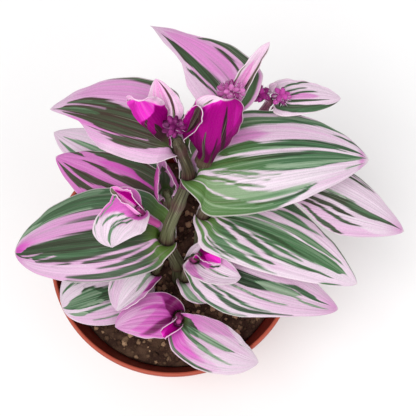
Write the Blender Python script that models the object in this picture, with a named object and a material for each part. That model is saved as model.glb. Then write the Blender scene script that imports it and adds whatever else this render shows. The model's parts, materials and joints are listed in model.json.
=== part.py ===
"""Striped trailing plant in a round nursery pot.

Every leaf, stem, bud cluster, the soil and the pot is its own closed object.
Sizes below are in millimetres and turn into metres when a mesh is made.
The pot stands on z = 0 with its middle on the origin; -Y is the viewer's side.
"""
import math

import bpy
import numpy as np

MM = 0.001

# Pot: a 12 cm nursery pot with a flared collar and a rolled lip
POT_HEIGHT = 100.0
POT_RIM_RADIUS = 60.0
POT_BASE_RADIUS = 40.5
POT_SHOULDER_RADIUS = 54.5
COLLAR_HEIGHT = 15.0
POT_WALL = 1.5
POT_FLOOR = 2.0
LIP_HEIGHT = 3.2
LIP_WIDTH = 1.9
POT_SIDES = 56
DRAIN_HOLES = 6
DRAIN_RADIUS = 3.5
DRAIN_CIRCLE = 27.0

# Soil
SOIL_TOP = 87.0
SOIL_GAP = 0.4
SOIL_BUMP = 1.3
SOIL_SIDES = 32
HOLE_GAP = 0.5

# Leaves
LEAF_THICKNESS = 0.7
SHEATH_GAP = 0.6
NARROW = 4.0  # half width below which a leaf lies flatter across
BEND_STEPS = 60

# Stems: points up the middle line, then the radius at the foot and at the top.
# The first point stands in the soil; leaves leave a stem at its other points.
STEMS = {
    "stem_main": ([(1.5, -8.5, 74), (2, -9, 112), (-1.5, -8, 149), (4, 0.5, 170),
                   (8.5, 7, 187), (5.5, 11.5, 203), (4, 12, 212.5)], 3.8, 2.4),
    "stem_branch": ([(13.5, 8.5, 193), (15.5, 10, 199), (19.5, 16, 207), (24.5, 23, 213),
                     (26, 25, 217), (26.5, 25.5, 221)], 2.1, 1.6),
    "stem_right": ([(15, 0, 74), (12.5, -1, 115), (14.5, 2.5, 150), (22.5, 12.5, 164),
                    (33, 28, 170), (39.5, 36.5, 183), (42, 36.5, 195)], 3.2, 1.8),
    "stem_left": ([(-8, 3, 74), (-6.5, 5, 108), (-2, 7.5, 136), (-1, 8.5, 150),
                   (-1.5, 9.5, 160)], 3.0, 2.2),
    "stem_front_right": ([(7.5, -13.5, 74), (6, -15.5, 112), (8.5, -13.5, 130),
                          (10.5, -14.5, 138), (12, -13.5, 143)], 3.0, 1.0),
    "stem_front": ([(2.5, -33, 74), (3, -32.5, 90), (3, -32.5, 104), (3, -36, 114),
                    (3, -39, 120)], 2.8, 1.3),
    "stem_front_left": ([(-17, -14.5, 74), (-14, -13.5, 94), (-8.5, -13, 112),
                         (-5, -11.5, 124)], 2.8, 1.6),
    "stem_side_shoot": ([(-5, -5, 159), (-8.5, -4.5, 164), (-11.5, -3.5, 170),
                         (-12.5, -4.5, 177)], 1.8, 0.9),
    "stem_back_left": ([(-15.5, 21.5, 74), (-15.5, 23.5, 104), (-11, 26, 126),
                        (-7.5, 26, 134)], 2.8, 1.2),
    "stem_back_right": ([(23.5, 19.5, 74), (24.5, 19.5, 100), (27, 21, 118),
                         (29.5, 23, 126)], 2.8, 1.2),
}

# What a leaf is unless its own entry says otherwise.
# width: widest; droop, sweep: degrees the midrib turns down and sideways from foot to tip
# left: share of the width left of the midrib; fold, curl: degrees each half tilts and bends
# early, late: how blunt the outline is at foot and tip; sheath: length wrapped on the stem
# grasp: degrees each way the sheath reaches; bend, flare: how soon it leaves the stem and opens
# lobe: how far the foot of the blade reaches back; slack: extra room round the stem
# aim: compass side of the stem it leaves from (None: towards the tip)
# facing: compass direction that the blade is square to (None: the way it points)
PLAIN = dict(width=36.0, droop=30.0, sweep=0.0, left=0.5, fold=4.0, curl=-20.0, early=0.36,
             late=0.75, sheath=5.0, grasp=150.0, bend=7.0, flare=6.0, lobe=5.0, slack=0.0,
             aim=None, facing=None, small=False)

# name: stem, point on the stem, tip, and what differs from the plain leaf
LEAVES = {
    "leaf_right_high": ("stem_main", 4, (84, 17, 178), dict(
        width=45, droop=45, sweep=22, left=0.45, curl=(-20, -40), lobe=8, slack=0.2)),
    "leaf_left_mid": ("stem_main", 2, (-70, -11, 138), dict(
        width=44.5, droop=40, sweep=6, left=0.43, curl=-25, late=0.58, slack=0.4)),
    "leaf_left_high": ("stem_main", 5, (-48, 32, 196), dict(
        width=36.5, droop=42, left=0.35, curl=(-25, -20), lobe=1)),
    "leaf_right_mid": ("stem_right", 2, (82, -27, 142), dict(
        sweep=35, left=0.43, late=0.7, lobe=8, slack=0.2)),
    "leaf_right_low": ("stem_front_right", 2, (76, -33, 120), dict(
        width=33, sweep=-12, left=0.54, lobe=3, slack=0.3, sheath=4)),
    "leaf_right_back": ("stem_right", 3, (102, -6, 152), dict(width=37, droop=28, left=0.58)),
    "leaf_back_high": ("stem_branch", 3, (-7, 65, 206), dict(
        width=29, droop=40, sweep=-10, left=0.35, early=0.32, late=1.25, slack=0.4)),
    "leaf_left_back": ("stem_left", 2, (-54, 35, 138), dict(width=32, droop=20)),
    "leaf_left_low_back": ("stem_back_left", 2, (-59, 57, 116), dict(width=28, droop=20)),
    "leaf_back_low_left": ("stem_back_left", 1, (-29, 72, 108), dict(width=26, droop=25)),
    "leaf_back_low": ("stem_back_right", 1, (32, 62, 108), dict(width=26)),
    "leaf_back_low_right": ("stem_back_right", 2, (71, 48, 116), dict(width=28)),
    "leaf_front_right": ("stem_front", 3, (40, -54, 102), dict(
        width=27, droop=25, sweep=-20, left=0.42, slack=0.2)),
    "leaf_front_left": ("stem_front", 2, (-27, -38, 106), dict(
        width=24, droop=15, sweep=-40, lobe=2, slack=0.4)),
    "leaf_left_low": ("stem_front_left", 1, (-52.5, -28.5, 105), dict(
        width=40, droop=25, left=0.4, late=0.5, lobe=2)),
    "leaf_left_folded": ("stem_front_left", 2, (-26, -32, 114), dict(
        width=28, sweep=-20, left=0.4, fold=25, curl=20, slack=0.2)),
    "leaf_front_small": ("stem_front_right", 1, (16, -27, 108), dict(
        width=16, fold=10, curl=0, sheath=4, grasp=120, lobe=1, small=True, slack=0.2)),
    "leaf_front_bud": ("stem_front", 4, (-4, -45, 117), dict(
        width=9, droop=10, fold=20, curl=80, sheath=2, early=0.5, late=0.7, grasp=110, bend=5,
        lobe=0, small=True, slack=0.2)),
    "leaf_back_small": ("stem_right", 6, (71, 37, 196), dict(
        width=17, droop=20, sheath=3, grasp=70, small=True)),
    "leaf_cup_right": ("stem_front_right", 3, (31, -24, 142), dict(
        width=19, droop=70, sweep=-60, fold=5, curl=25, sheath=3, slack=0.5, small=True)),
    "leaf_cup_right_inner": ("stem_front_right", 4, (22, -19.5, 148), dict(
        width=13, droop=20, fold=20, curl=50, sheath=2, grasp=110, bend=4, lobe=0, small=True,
        slack=0.2)),
    "leaf_cup_left": ("stem_side_shoot", 2, (-24, -17, 164), dict(
        width=29, droop=60, sweep=-95, left=0.48, fold=10, curl=15, sheath=3, lobe=5,
        slack=0.3, small=True)),
    "leaf_cup_left_inner": ("stem_side_shoot", 3, (-23.5, 2.5, 184), dict(
        width=16, droop=-60, fold=50, curl=30, sheath=2, bend=3, lobe=0, small=True,
        slack=0.2)),
    "leaf_rolled": ("stem_left", 4, (-3, 15, 184), dict(
        width=24, droop=0, fold=10, curl=110, sheath=3, bend=5, lobe=3, small=True,
        slack=0.2)),
    "bract_upright": ("stem_branch", 1, (22.5, 17.5, 236), dict(
        width=24, droop=15, left=0.5, fold=5, curl=45, early=0.5, late=0.38, sheath=3,
        grasp=120, bend=4, flare=7, lobe=0, slack=0.4, aim=-95, facing=90, small=True)),
    "bract_narrow": ("stem_branch", 4, (40, 44, 231), dict(
        width=12, droop=10, fold=45, curl=20, early=0.6, late=0.9, sheath=2, grasp=60,
        bend=3, aim=50, small=True)),
    "bract_curl": ("stem_right", 6, (44.5, 40, 203), dict(
        width=5, droop=40, sweep=80, fold=20, curl=20, sheath=3, grasp=35, lobe=0, aim=125,
        small=True)),
    "bract_left": ("stem_main", 6, (-9, 17.5, 235), dict(
        width=18, droop=-60, left=0.5, fold=10, curl=50, early=0.55, late=0.45, sheath=2,
        grasp=35, bend=2, flare=8, lobe=0, aim=205, facing=85, small=True)),
    "bract_pointed": ("stem_main", 6, (-3.5, 31, 226), dict(
        width=15, droop=10, fold=20, curl=0, early=0.5, late=0.8, sheath=2, grasp=35,
        bend=3, lobe=0, aim=110, facing=90, small=True)),
    "bract_right": ("stem_main", 6, (13.5, 16, 233), dict(
        width=11, droop=-30, left=0.4, fold=5, curl=50, early=0.5, late=0.5, sheath=2, grasp=35,
        bend=2, lobe=0, aim=10, facing=45, small=True)),
}

# Bud clusters: middle and half sizes
BUDS = {
    "buds_left": ((3.5, 12.5, 222.5), (4, 4, 5)),
    "buds_middle": ((25, 25, 227), (5.5, 4, 4.5)),
    "buds_right_inner": ((38, 35, 204), (3.5, 3.5, 4.5)),
    "buds_right_outer": ((46, 34.5, 203), (3.5, 3.5, 4.5)),
}

COLOURS = {
    "pot": (0.52, 0.12, 0.06), "soil": (0.06, 0.035, 0.02), "stem": (0.16, 0.22, 0.10),
    "leaf": (0.30, 0.36, 0.28), "bract": (0.45, 0.03, 0.35), "buds": (0.30, 0.02, 0.25),
}


def unit(v):
    v = np.asarray(v, float)
    return v / (np.linalg.norm(v) + 1e-12)


def ease(x):
    x = min(max(float(x), 0.0), 1.0)
    return x * x * (3 - 2 * x)


def pair(value, side):
    """A value given once counts for both halves; a pair is (left, right)."""
    if isinstance(value, tuple):
        return value[0] if side < 0 else value[1]
    return value


# Making objects

def make_object(name, verts, faces, kind, roughness=0.5):
    mesh = bpy.data.meshes.new(name)
    mesh.from_pydata([tuple(np.asarray(v, float) * MM) for v in verts], [],
                     [tuple(int(i) for i in f) for f in faces])
    mesh.update()
    obj = bpy.data.objects.new(name, mesh)
    bpy.context.scene.collection.objects.link(obj)
    mat = bpy.data.materials.new(name + "_material")
    mat.use_nodes = True
    shader = mat.node_tree.nodes["Principled BSDF"]
    shader.inputs["Base Color"].default_value = (*COLOURS[kind], 1.0)
    shader.inputs["Roughness"].default_value = roughness
    mesh.materials.append(mat)
    return obj


def cut(body, tool):
    tool.hide_render = True
    tool.display_type = "WIRE"
    mod = body.modifiers.new("cut_" + tool.name, "BOOLEAN")
    mod.operation = "DIFFERENCE"
    mod.solver = "EXACT"
    mod.object = tool


# Stems

def stem_ends(points):
    pts = [np.array(p, float) for p in points]
    return [2 * pts[0] - pts[1]] + pts + [2 * pts[-1] - pts[-2]]


def stem_line(points, steps):
    """Smooth line through the given points."""
    p = stem_ends(points)
    line = []
    for i in range(1, len(p) - 2):
        for k in range(steps):
            t = k / steps
            a, b, c, d = p[i - 1:i + 3]
            line.append(0.5 * (2 * b + (c - a) * t + (2 * a - 5 * b + 4 * c - d) * t * t
                               + (3 * b - a - 3 * c + d) * t ** 3))
    line.append(p[-2])
    return np.array(line)


def tube(line, radii, sides):
    """Closed round body along a line."""
    verts, faces = [], []
    last = len(line) - 1
    for i, p in enumerate(line):
        along = unit(line[min(i + 1, last)] - line[max(i - 1, 0)])
        across = unit(np.array([1.0, 0, 0]) - along * along[0])
        third = np.cross(along, across)
        for k in range(sides):
            a = 2 * math.pi * k / sides
            verts.append(p + radii[i] * (across * math.cos(a) + third * math.sin(a)))
    for i in range(last):
        for k in range(sides):
            a, b = i * sides + k, i * sides + (k + 1) % sides
            faces.append((a, b, b + sides, a + sides))
    faces.append(tuple(range(sides))[::-1])
    faces.append(tuple(last * sides + k for k in range(sides)))
    return verts, faces


def make_stem(name):
    points, foot, top = STEMS[name]
    line = stem_line(points, 3)
    radii = np.linspace(foot, top, len(line))
    verts, faces = tube(line, radii, 8)
    return make_object(name, verts, faces, "stem", 0.45)


def stem_hole(name):
    """Tool for the plain hole that a stem stands in."""
    points, foot, _top = STEMS[name]
    start, after = np.array(points[0], float), np.array(points[1], float)
    along = unit(after - start)
    line = np.array([start - along * 0.4, start + along * 24.0])
    verts, faces = tube(line, [foot + HOLE_GAP] * 2, 12)
    return make_object("tool_hole_" + name, verts, faces, "soil")


def node_on(stem, k):
    """Where a leaf leaves its stem: point, direction and stem radius."""
    points, foot, top = STEMS[stem]
    p = stem_ends(points)
    return p[k + 1], unit(p[k + 2] - p[k]), foot + (top - foot) * k / (len(points) - 1)


# Leaves

def blade_direction(leaf, az, el, s):
    a = az + math.radians(leaf["sweep"]) * (0.5 - s)
    e = el + math.radians(leaf["droop"]) * (0.5 - s)
    square = a if leaf["facing"] is None else math.radians(leaf["facing"])
    flat = np.array([math.sin(square), -math.cos(square), 0.0])
    return np.array([math.cos(a) * math.cos(e), math.sin(a) * math.cos(e), math.sin(e)]), flat


def midrib(leaf, tip, node, axis, reach):
    """Line from the mouth of the sheath to the tip, and what it took to get there."""
    out = np.array([tip[0] - node[0], tip[1] - node[1], 0.0])
    if leaf["aim"] is not None:
        out = np.array([math.cos(math.radians(leaf["aim"])),
                        math.sin(math.radians(leaf["aim"])), 0.0])
    out = unit(out - axis * np.dot(out, axis))
    start = node + out * reach
    goal = np.asarray(tip, float) - start
    az, el = math.atan2(goal[1], goal[0]), math.atan2(goal[2], math.hypot(goal[0], goal[1]))
    length = np.linalg.norm(goal)
    for _ in range(14):
        line = [start]
        for i in range(BEND_STEPS):
            s = (i + 0.5) / BEND_STEPS
            blade, _flat = blade_direction(leaf, az, el, s)
            w = ease(s * length / leaf["bend"])
            line.append(line[-1] + unit(axis * (1 - w) + blade * w) * length / BEND_STEPS)
        got = line[-1] - start
        length *= np.linalg.norm(goal) / np.linalg.norm(got)
        az += math.atan2(goal[1], goal[0]) - math.atan2(got[1], got[0])
        el += (math.atan2(goal[2], math.hypot(goal[0], goal[1]))
               - math.atan2(got[2], math.hypot(got[0], got[1])))
    return out, np.array(line), az, el, length


def leaf_rows(length, small):
    """Stations along the leaf: -1 to 0 is the sheath, 0 to 1 the blade."""
    near = (2.0, 4.5, 8.0) if small else (1.5, 3.0, 5.0, 8.0)
    blade = 5 if small else 6
    first = min(near[-1] / length, 0.4)
    rows = [-1.0, 0.0] + [first * n / near[-1] for n in near]
    return rows + [first + (1 - first) * (i / blade) ** 0.95 for i in range(1, blade + 1)]


def leaf_grid(leaf, tip, node, axis, stem_radius):
    """Grid of points on the middle surface of a leaf."""
    reach = stem_radius + SHEATH_GAP + leaf["slack"] + LEAF_THICKNESS / 2
    out, line, az, el, length = midrib(leaf, tip, node, axis, reach)
    rows = leaf_rows(length, leaf["small"])
    cols = (-1, -0.66, -0.33, 0, 0.33, 0.66, 1) if leaf["small"] else \
        (-1, -0.74, -0.48, -0.23, 0, 0.23, 0.48, 0.74, 1)
    side_foot = np.cross(out, axis)
    sheath_half = math.radians(leaf["grasp"]) * reach
    early, late = leaf["early"], leaf["late"]
    peak = (early / (early + late)) ** early * (late / (early + late)) ** late
    grid = []
    for v in rows:
        s = max(v, 0.0)
        x = min(int(s * BEND_STEPS), BEND_STEPS - 1)
        f = s * BEND_STEPS - x
        pos = line[x] * (1 - f) + line[x + 1] * f + axis * (min(v, 0.0) * leaf["sheath"])
        blade, flat = blade_direction(leaf, az, el, s)
        if np.dot(flat, side_foot) < 0:
            flat = -flat
        w = ease(s * length / leaf["bend"])
        along = unit(axis * (1 - w) + blade * w)
        side = side_foot * (1 - w) + flat * w
        side = unit(side - along * np.dot(side, along))
        up = np.cross(side, along)
        opening = ease(s * length / leaf["flare"])
        widening = ease(s * length / (1.5 * leaf["flare"]))
        back = leaf["lobe"] * opening * (1 - ease((s * length - 4) / 22))
        outline = leaf["width"] * s ** early * (1 - s) ** late / peak
        row = []
        for u in cols:
            hand, q = (1 if u >= 0 else -1), abs(u)
            share = leaf["left"] if hand < 0 else 1 - leaf["left"]
            half = max(sheath_half * (1 - widening) + outline * share * widening, 0.7)
            room = min(half / NARROW, 1.0)
            tilt = math.radians(pair(leaf["fold"], hand)) * opening * room
            turn = (math.radians(leaf["grasp"]) * (1 - opening)
                    + math.radians(pair(leaf["curl"], hand)) * opening * room)
            turn = turn if abs(turn) > 1e-3 else 1e-3
            x = half * (math.sin(tilt + turn * q) - math.sin(tilt)) / turn
            z = half * (math.cos(tilt) - math.cos(tilt + turn * q)) / turn
            row.append(pos + side * (x * hand) + up * z - along * (back * q * q))
        grid.append(row)
    return np.array(grid)


def thicken(grid, thickness):
    """Closed sheet: the grid moved half the thickness to both sides, split alike."""
    normal = np.cross(np.gradient(grid, axis=1), np.gradient(grid, axis=0))
    normal /= np.linalg.norm(normal, axis=2, keepdims=True) + 1e-12
    rows, cols = grid.shape[:2]
    verts = np.concatenate([(grid + normal * thickness / 2).reshape(-1, 3),
                            (grid - normal * thickness / 2).reshape(-1, 3)])
    low = rows * cols
    faces = []
    for i in range(rows - 1):
        for j in range(cols - 1):
            a, b = i * cols + j, i * cols + j + 1
            c, d = b + cols, a + cols
            faces += [(a, b, c), (a, c, d), (low + a, low + c, low + b), (low + a, low + d, low + c)]
    edge = [j for j in range(cols)] + [i * cols + cols - 1 for i in range(1, rows)]
    edge += [(rows - 1) * cols + j for j in range(cols - 2, -1, -1)]
    edge += [i * cols for i in range(rows - 2, 0, -1)]
    for a, b in zip(edge, edge[1:] + edge[:1]):
        faces += [(a, low + a, low + b), (a, low + b, b)]
    return verts, faces


def make_leaf(name):
    stem, k, tip, own = LEAVES[name]
    leaf = {**PLAIN, **own}
    node, axis, radius = node_on(stem, k)
    grid = leaf_grid(leaf, tip, node, axis, radius)
    verts, faces = thicken(grid, LEAF_THICKNESS)
    kind = "bract" if name.startswith("bract") else "leaf"
    return make_object(name, verts, faces, kind, 0.4)


# Buds

def make_buds(name):
    """Cluster of small buds as one lumpy body."""
    middle, size = BUDS[name]
    rings, sides = 7, 14
    verts, faces = [], []
    for i in range(1, rings):
        for j in range(sides):
            lat, lon = math.pi * i / rings, 2 * math.pi * (j + 0.5 * (i % 2)) / sides
            r = 1 + (0.13 if (i + j) % 2 else -0.09)
            verts.append([middle[0] + size[0] * r * math.sin(lat) * math.cos(lon),
                          middle[1] + size[1] * r * math.sin(lat) * math.sin(lon),
                          middle[2] + size[2] * math.cos(lat)])
    for i in range(rings - 2):
        for j in range(sides):
            a, b = i * sides + j, i * sides + (j + 1) % sides
            faces += [(a, a + sides, b + sides), (a, b + sides, b)]
    top, bottom = len(verts), len(verts) + 1
    verts += [[middle[0], middle[1], middle[2] + size[2]], [middle[0], middle[1], middle[2] - size[2]]]
    for j in range(sides):
        faces.append((top, j, (j + 1) % sides))
        first = (rings - 2) * sides
        faces.append((bottom, first + (j + 1) % sides, first + j))
    return make_object(name, verts, faces, "buds", 0.6)


# Pot and soil

def turned(profile, sides, bump=None):
    """Closed body turned about the upright axis; the profile starts and ends on the axis."""
    verts, faces = [], []
    ring = profile[1:-1]
    for r, z in ring:
        for k in range(sides):
            a = 2 * math.pi * k / sides
            x, y = r * math.cos(a), r * math.sin(a)
            verts.append((x, y, z + (bump(x, y) if bump else 0.0)))
    for i in range(len(ring) - 1):
        for k in range(sides):
            a, b = i * sides + k, i * sides + (k + 1) % sides
            faces.append((a, b, b + sides, a + sides))
    low, high = len(verts), len(verts) + 1
    verts += [(0, 0, profile[0][1]), (0, 0, profile[-1][1] + (bump(0, 0) if bump else 0.0))]
    last = (len(ring) - 1) * sides
    for k in range(sides):
        faces.append((low, (k + 1) % sides, k))
        faces.append((high, last + k, last + (k + 1) % sides))
    return verts, faces


def outer_radius(z):
    """Outside of the wall: a plain cone up to the shoulder, then the flared collar."""
    shoulder = POT_HEIGHT - COLLAR_HEIGHT
    if z <= shoulder:
        return POT_BASE_RADIUS + (POT_SHOULDER_RADIUS - POT_BASE_RADIUS) * z / shoulder
    top = POT_RIM_RADIUS - 0.6
    return POT_SHOULDER_RADIUS + (top - POT_SHOULDER_RADIUS) * (z - shoulder) / COLLAR_HEIGHT


def inner_radius(z):
    return outer_radius(z) - POT_WALL


def make_pot():
    h, rim = POT_HEIGHT, POT_RIM_RADIUS
    under_lip = h - LIP_HEIGHT
    shoulder = h - COLLAR_HEIGHT
    profile = [
        (0, 0), (POT_BASE_RADIUS - 0.7, 0), (POT_BASE_RADIUS, 0.7),
        (POT_SHOULDER_RADIUS, shoulder), (outer_radius(under_lip), under_lip),
        (rim - 0.4, under_lip + 0.2), (rim, under_lip + 0.8), (rim, h - 0.7), (rim - 0.5, h),
        (rim - LIP_WIDTH + 0.4, h), (rim - LIP_WIDTH, h - 0.5),
        (inner_radius(shoulder), shoulder), (inner_radius(POT_FLOOR + 1), POT_FLOOR + 1),
        (inner_radius(POT_FLOOR) - 1, POT_FLOOR), (0, POT_FLOOR)]
    verts, faces = turned(profile, POT_SIDES)
    pot = make_object("pot", verts, faces, "pot", 0.45)
    for k in range(DRAIN_HOLES):
        a = 2 * math.pi * (k + 0.53) / DRAIN_HOLES
        x, y = DRAIN_CIRCLE * math.cos(a), DRAIN_CIRCLE * math.sin(a)
        verts, faces = tube(np.array([(x, y, -2.0), (x, y, POT_FLOOR + 2.0)]), [DRAIN_RADIUS] * 2, 12)
        cut(pot, make_object("tool_drain_%d" % k, verts, faces, "pot"))
    return pot


def soil_bump(x, y):
    """Small heaps in the soil, fading towards the wall."""
    fade = ease((52 - math.hypot(x, y)) / 10)
    heaps = (math.sin(0.31 * x + 1.3) * math.cos(0.27 * y - 0.4)
             + 0.6 * math.sin(0.55 * x - 0.35 * y + 0.7))
    return SOIL_BUMP * fade * heaps


def make_soil():
    bottom = POT_FLOOR + 0.4
    edge = inner_radius(SOIL_TOP) - SOIL_GAP - 0.3
    foot = inner_radius(POT_FLOOR + 1) - SOIL_GAP - 0.4
    verts, faces = turned([(0, bottom), (foot - 1, bottom), (foot, bottom + 1), (edge, SOIL_TOP - 0.6),
                           (edge - 1, SOIL_TOP), (44, SOIL_TOP), (34, SOIL_TOP), (24, SOIL_TOP),
                           (14, SOIL_TOP), (6, SOIL_TOP), (0, SOIL_TOP)], SOIL_SIDES)
    raised = []
    for x, y, z in verts:
        raised.append((x, y, z + (soil_bump(x, y) if z > SOIL_TOP - 0.1 else 0.0)))
    soil = make_object("soil", raised, faces, "soil", 0.95)
    for name in STEMS:
        if STEMS[name][0][0][2] < SOIL_TOP:
            cut(soil, stem_hole(name))
    return soil


def main():
    for obj in list(bpy.data.objects):
        bpy.data.objects.remove(obj, do_unlink=True)
    make_pot()
    make_soil()
    for name in STEMS:
        make_stem(name)
    for name in LEAVES:
        make_leaf(name)
    for name in BUDS:
        make_buds(name)


main()
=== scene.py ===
"""Striped trailing plant in a nursery pot: the finished surfaces.

Run as a script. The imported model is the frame: every piece below takes the place of one of its
nodes and keeps that node's form, with a finer mesh and its real colours.
Sizes in the tables are millimetres, as in the part's source, and MM turns them into metres.
"""

import json
import math
import random

import bpy
import numpy as np
from bpy.props import FloatProperty, FloatVectorProperty, IntProperty, PointerProperty
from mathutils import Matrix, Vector


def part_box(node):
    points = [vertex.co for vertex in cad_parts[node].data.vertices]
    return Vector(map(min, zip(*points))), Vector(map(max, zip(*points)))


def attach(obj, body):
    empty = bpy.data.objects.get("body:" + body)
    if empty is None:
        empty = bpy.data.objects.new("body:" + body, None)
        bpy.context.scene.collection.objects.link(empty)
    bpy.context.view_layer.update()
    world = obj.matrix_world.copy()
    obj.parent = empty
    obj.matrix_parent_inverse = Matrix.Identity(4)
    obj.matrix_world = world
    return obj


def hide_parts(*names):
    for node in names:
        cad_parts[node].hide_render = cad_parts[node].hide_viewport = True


bl_info = {
    "name": "Potted striped plant",
    "version": (1, 0, 0),
    "blender": (4, 5, 0),
    "location": "View3D > Sidebar > Plant",
    "description": "Builds the leaves, stems, buds, soil and pot of a striped trailing plant",
    "category": "Object",
}

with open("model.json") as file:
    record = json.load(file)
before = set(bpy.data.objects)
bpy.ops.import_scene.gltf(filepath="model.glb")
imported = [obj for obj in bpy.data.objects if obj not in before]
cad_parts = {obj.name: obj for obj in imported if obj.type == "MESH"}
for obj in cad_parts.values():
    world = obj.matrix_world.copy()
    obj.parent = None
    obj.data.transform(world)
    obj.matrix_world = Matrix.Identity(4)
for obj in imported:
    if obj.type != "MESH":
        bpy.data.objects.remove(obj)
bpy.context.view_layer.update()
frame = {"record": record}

MM = 0.001

# Pot
POT_LIP_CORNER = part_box("pot")[1]
POT_HEIGHT = POT_LIP_CORNER.z / MM
POT_RIM_RADIUS = POT_LIP_CORNER.x / MM
POT_BASE_RADIUS = 40.5
POT_SHOULDER_RADIUS = 54.5
COLLAR_HEIGHT = 15.0
COLLAR_INSET = 0.6
POT_SHOULDER_HEIGHT = POT_HEIGHT - COLLAR_HEIGHT
POT_WALL = 1.5
POT_FLOOR = 2.0
LIP_HEIGHT = 3.2
LIP_WIDTH = 1.9
LIP_ROUND = 0.9
LIP_STEPS = 8
# Rounding of the base's edge and of the lip's lower edge, as steps outwards and up.
BASE_EDGE = ((-0.9, 0), (-0.3, 0.25), (0.05, 0.8))
LIP_EDGE = ((-0.35, 0.15), (0, 0.6))
DRAIN_HOLES = 6
DRAIN_RADIUS = 3.5
DRAIN_CIRCLE = 27.0
DRAIN_SIDES = 32
# The first hole's place on its circle, in shares of the step from hole to hole.
DRAIN_START = 0.53
# Edges sharper than this stay sharp.
SHARP_ANGLE = 40.0
# Points further in than this get the painted shade of the inner wall.
POT_SKIN = 0.6
# The lip's wear starts this far below its top, and sets in over this height.
WEAR_START, WEAR_FADE = 0.7, 0.5

# Soil
SOIL_TOP = 87.0
SOIL_GAP = 0.4
SOIL_BUMP = 1.3
SOIL_LUMP = 0.3
# Where the heaps and the lumps end, and how far they take to fade.
HEAPS_END, HEAPS_FADE = 52, 10
LUMPS_END, LUMPS_FADE = 52.5, 2
CRUMB_BED_RINGS, CRUMB_BED_SIDES = 26, 96
CRUMB_DENSITY = 180000.0

# Stems: thickness between the joints and at a joint, in shares, and how far a joint swells
STEM_WAIST = 0.86
STEM_JOINT = 1.04
JOINT_REACH = 3.0
# Round top of a stem: how far up it and how thick, in shares of the stem's radius.
STEM_TOP = ((0.0, 1.0), (0.35, 0.94), (0.7, 0.72), (0.92, 0.4), (1.0, 0.06))
# How magenta a stem is at its foot and at its top.
STEM_FLUSH = {"stem_front": (0, 1), "stem_side_shoot": (1, 1), "stem_front_right": (0, 0.8),
              "stem_right": (0, 0.3)}

# Leaves
SHEATH_GAP = 0.6
# A blade whose half is narrower than this folds and curls less.
NARROW = 4.0
# Half width of the blade's blunt point.
POINT_HALF = 0.12
# Steps along the midrib, and rounds in which it is aimed at the tip.
BEND_STEPS = 60
AIM_ROUNDS = 14
# The foot's lobes reach back up to here along the blade, and fade over this length.
LOBE_START, LOBE_FADE = 4, 22
MIDDLE_THICKNESS = 0.62
MARGIN_THICKNESS = 0.3
MARGIN = 0.5
SMALL_LEAF = 30.0
CAD_THICKNESS = 0.7
GROOVE_DEPTH, GROOVE_WIDTH = 0.3, 0.03
# Height of the pleats along a leaf, and how close they lie.
PLEAT_HEIGHT, PLEAT_CLOSE = 0.08, 21.0
FINE_HEIGHT, FINE_CLOSE = 0.04, 55.0
WAVES = 4
# Width and length of blade that the veins count as one, and their shift from leaf to leaf.
VEINS_WIDE, VEINS_LONG, VEINS_SHIFT = 72.0, 80.0, 0.37
# How far in from its edge a stripe reaches its depth, and how wide a tint's edge fades.
DEPTH_FADE, TINT_FADE = 0.015, 0.1
# Depth of the sheath's green, and how far below the sheath's mouth that is reached.
SHEATH_DEPTH, SHEATH_FADE = 0.6, 0.02
# Where the pale tip starts along a leaf, and how far it takes to turn pale.
TIP_START, TIP_FADE = 0.985, 0.01

# Buds: how deep the core lies in its cluster, and how many buds or hairs a square metre may hold
CORE_DEPTH = 1.4
CORE_RINGS, CORE_SIDES = 16, 28
BUD_DENSITY = 2000000.0
# In metres, as the settings are.
HAIR_SPACING = 0.0004

# Camera of the photograph
CAMERA_PLACE = (16.5, -146.2, 578.2)
CAMERA_TILT = 19.52
CAMERA_LENS = 88.8
CAMERA_SENSOR = 36.0

# Floor and lights: place, size, and share of the main light's power
FLOOR_HALF = 3000.0
LIGHT_AIM = (0, 0, 120)
LIGHTS = {
    "key_light": ((-450, -700, 2000), 1000, 1),
    "fill_light": ((1000, -1000, 1300), 1400, 0.25),
}

# Stems: points up the middle line, then the radius at the foot and at the top
STEMS = {
    "stem_main": ([(1.5, -8.5, 74), (2, -9, 112), (-1.5, -8, 149), (4, 0.5, 170),
                   (8.5, 7, 187), (5.5, 11.5, 203), (4, 12, 212.5)], 3.8, 2.4),
    "stem_branch": ([(13.5, 8.5, 193), (15.5, 10, 199), (19.5, 16, 207), (24.5, 23, 213),
                     (26, 25, 217), (26.5, 25.5, 221)], 2.1, 1.6),
    "stem_right": ([(15, 0, 74), (12.5, -1, 115), (14.5, 2.5, 150), (22.5, 12.5, 164),
                    (33, 28, 170), (39.5, 36.5, 183), (42, 36.5, 195)], 3.2, 1.8),
    "stem_left": ([(-8, 3, 74), (-6.5, 5, 108), (-2, 7.5, 136), (-1, 8.5, 150),
                   (-1.5, 9.5, 160)], 3.0, 2.2),
    "stem_front_right": ([(7.5, -13.5, 74), (6, -15.5, 112), (8.5, -13.5, 130),
                          (10.5, -14.5, 138), (12, -13.5, 143)], 3.0, 1.0),
    "stem_front": ([(2.5, -33, 74), (3, -32.5, 90), (3, -32.5, 104), (3, -36, 114),
                    (3, -39, 120)], 2.8, 1.3),
    "stem_front_left": ([(-17, -14.5, 74), (-14, -13.5, 94), (-8.5, -13, 112),
                         (-5, -11.5, 124)], 2.8, 1.6),
    "stem_side_shoot": ([(-5, -5, 159), (-8.5, -4.5, 164), (-11.5, -3.5, 170),
                         (-12.5, -4.5, 177)], 1.8, 0.9),
    "stem_back_left": ([(-15.5, 21.5, 74), (-15.5, 23.5, 104), (-11, 26, 126),
                        (-7.5, 26, 134)], 2.8, 1.2),
    "stem_back_right": ([(23.5, 19.5, 74), (24.5, 19.5, 100), (27, 21, 118),
                         (29.5, 23, 126)], 2.8, 1.2),
}

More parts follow.
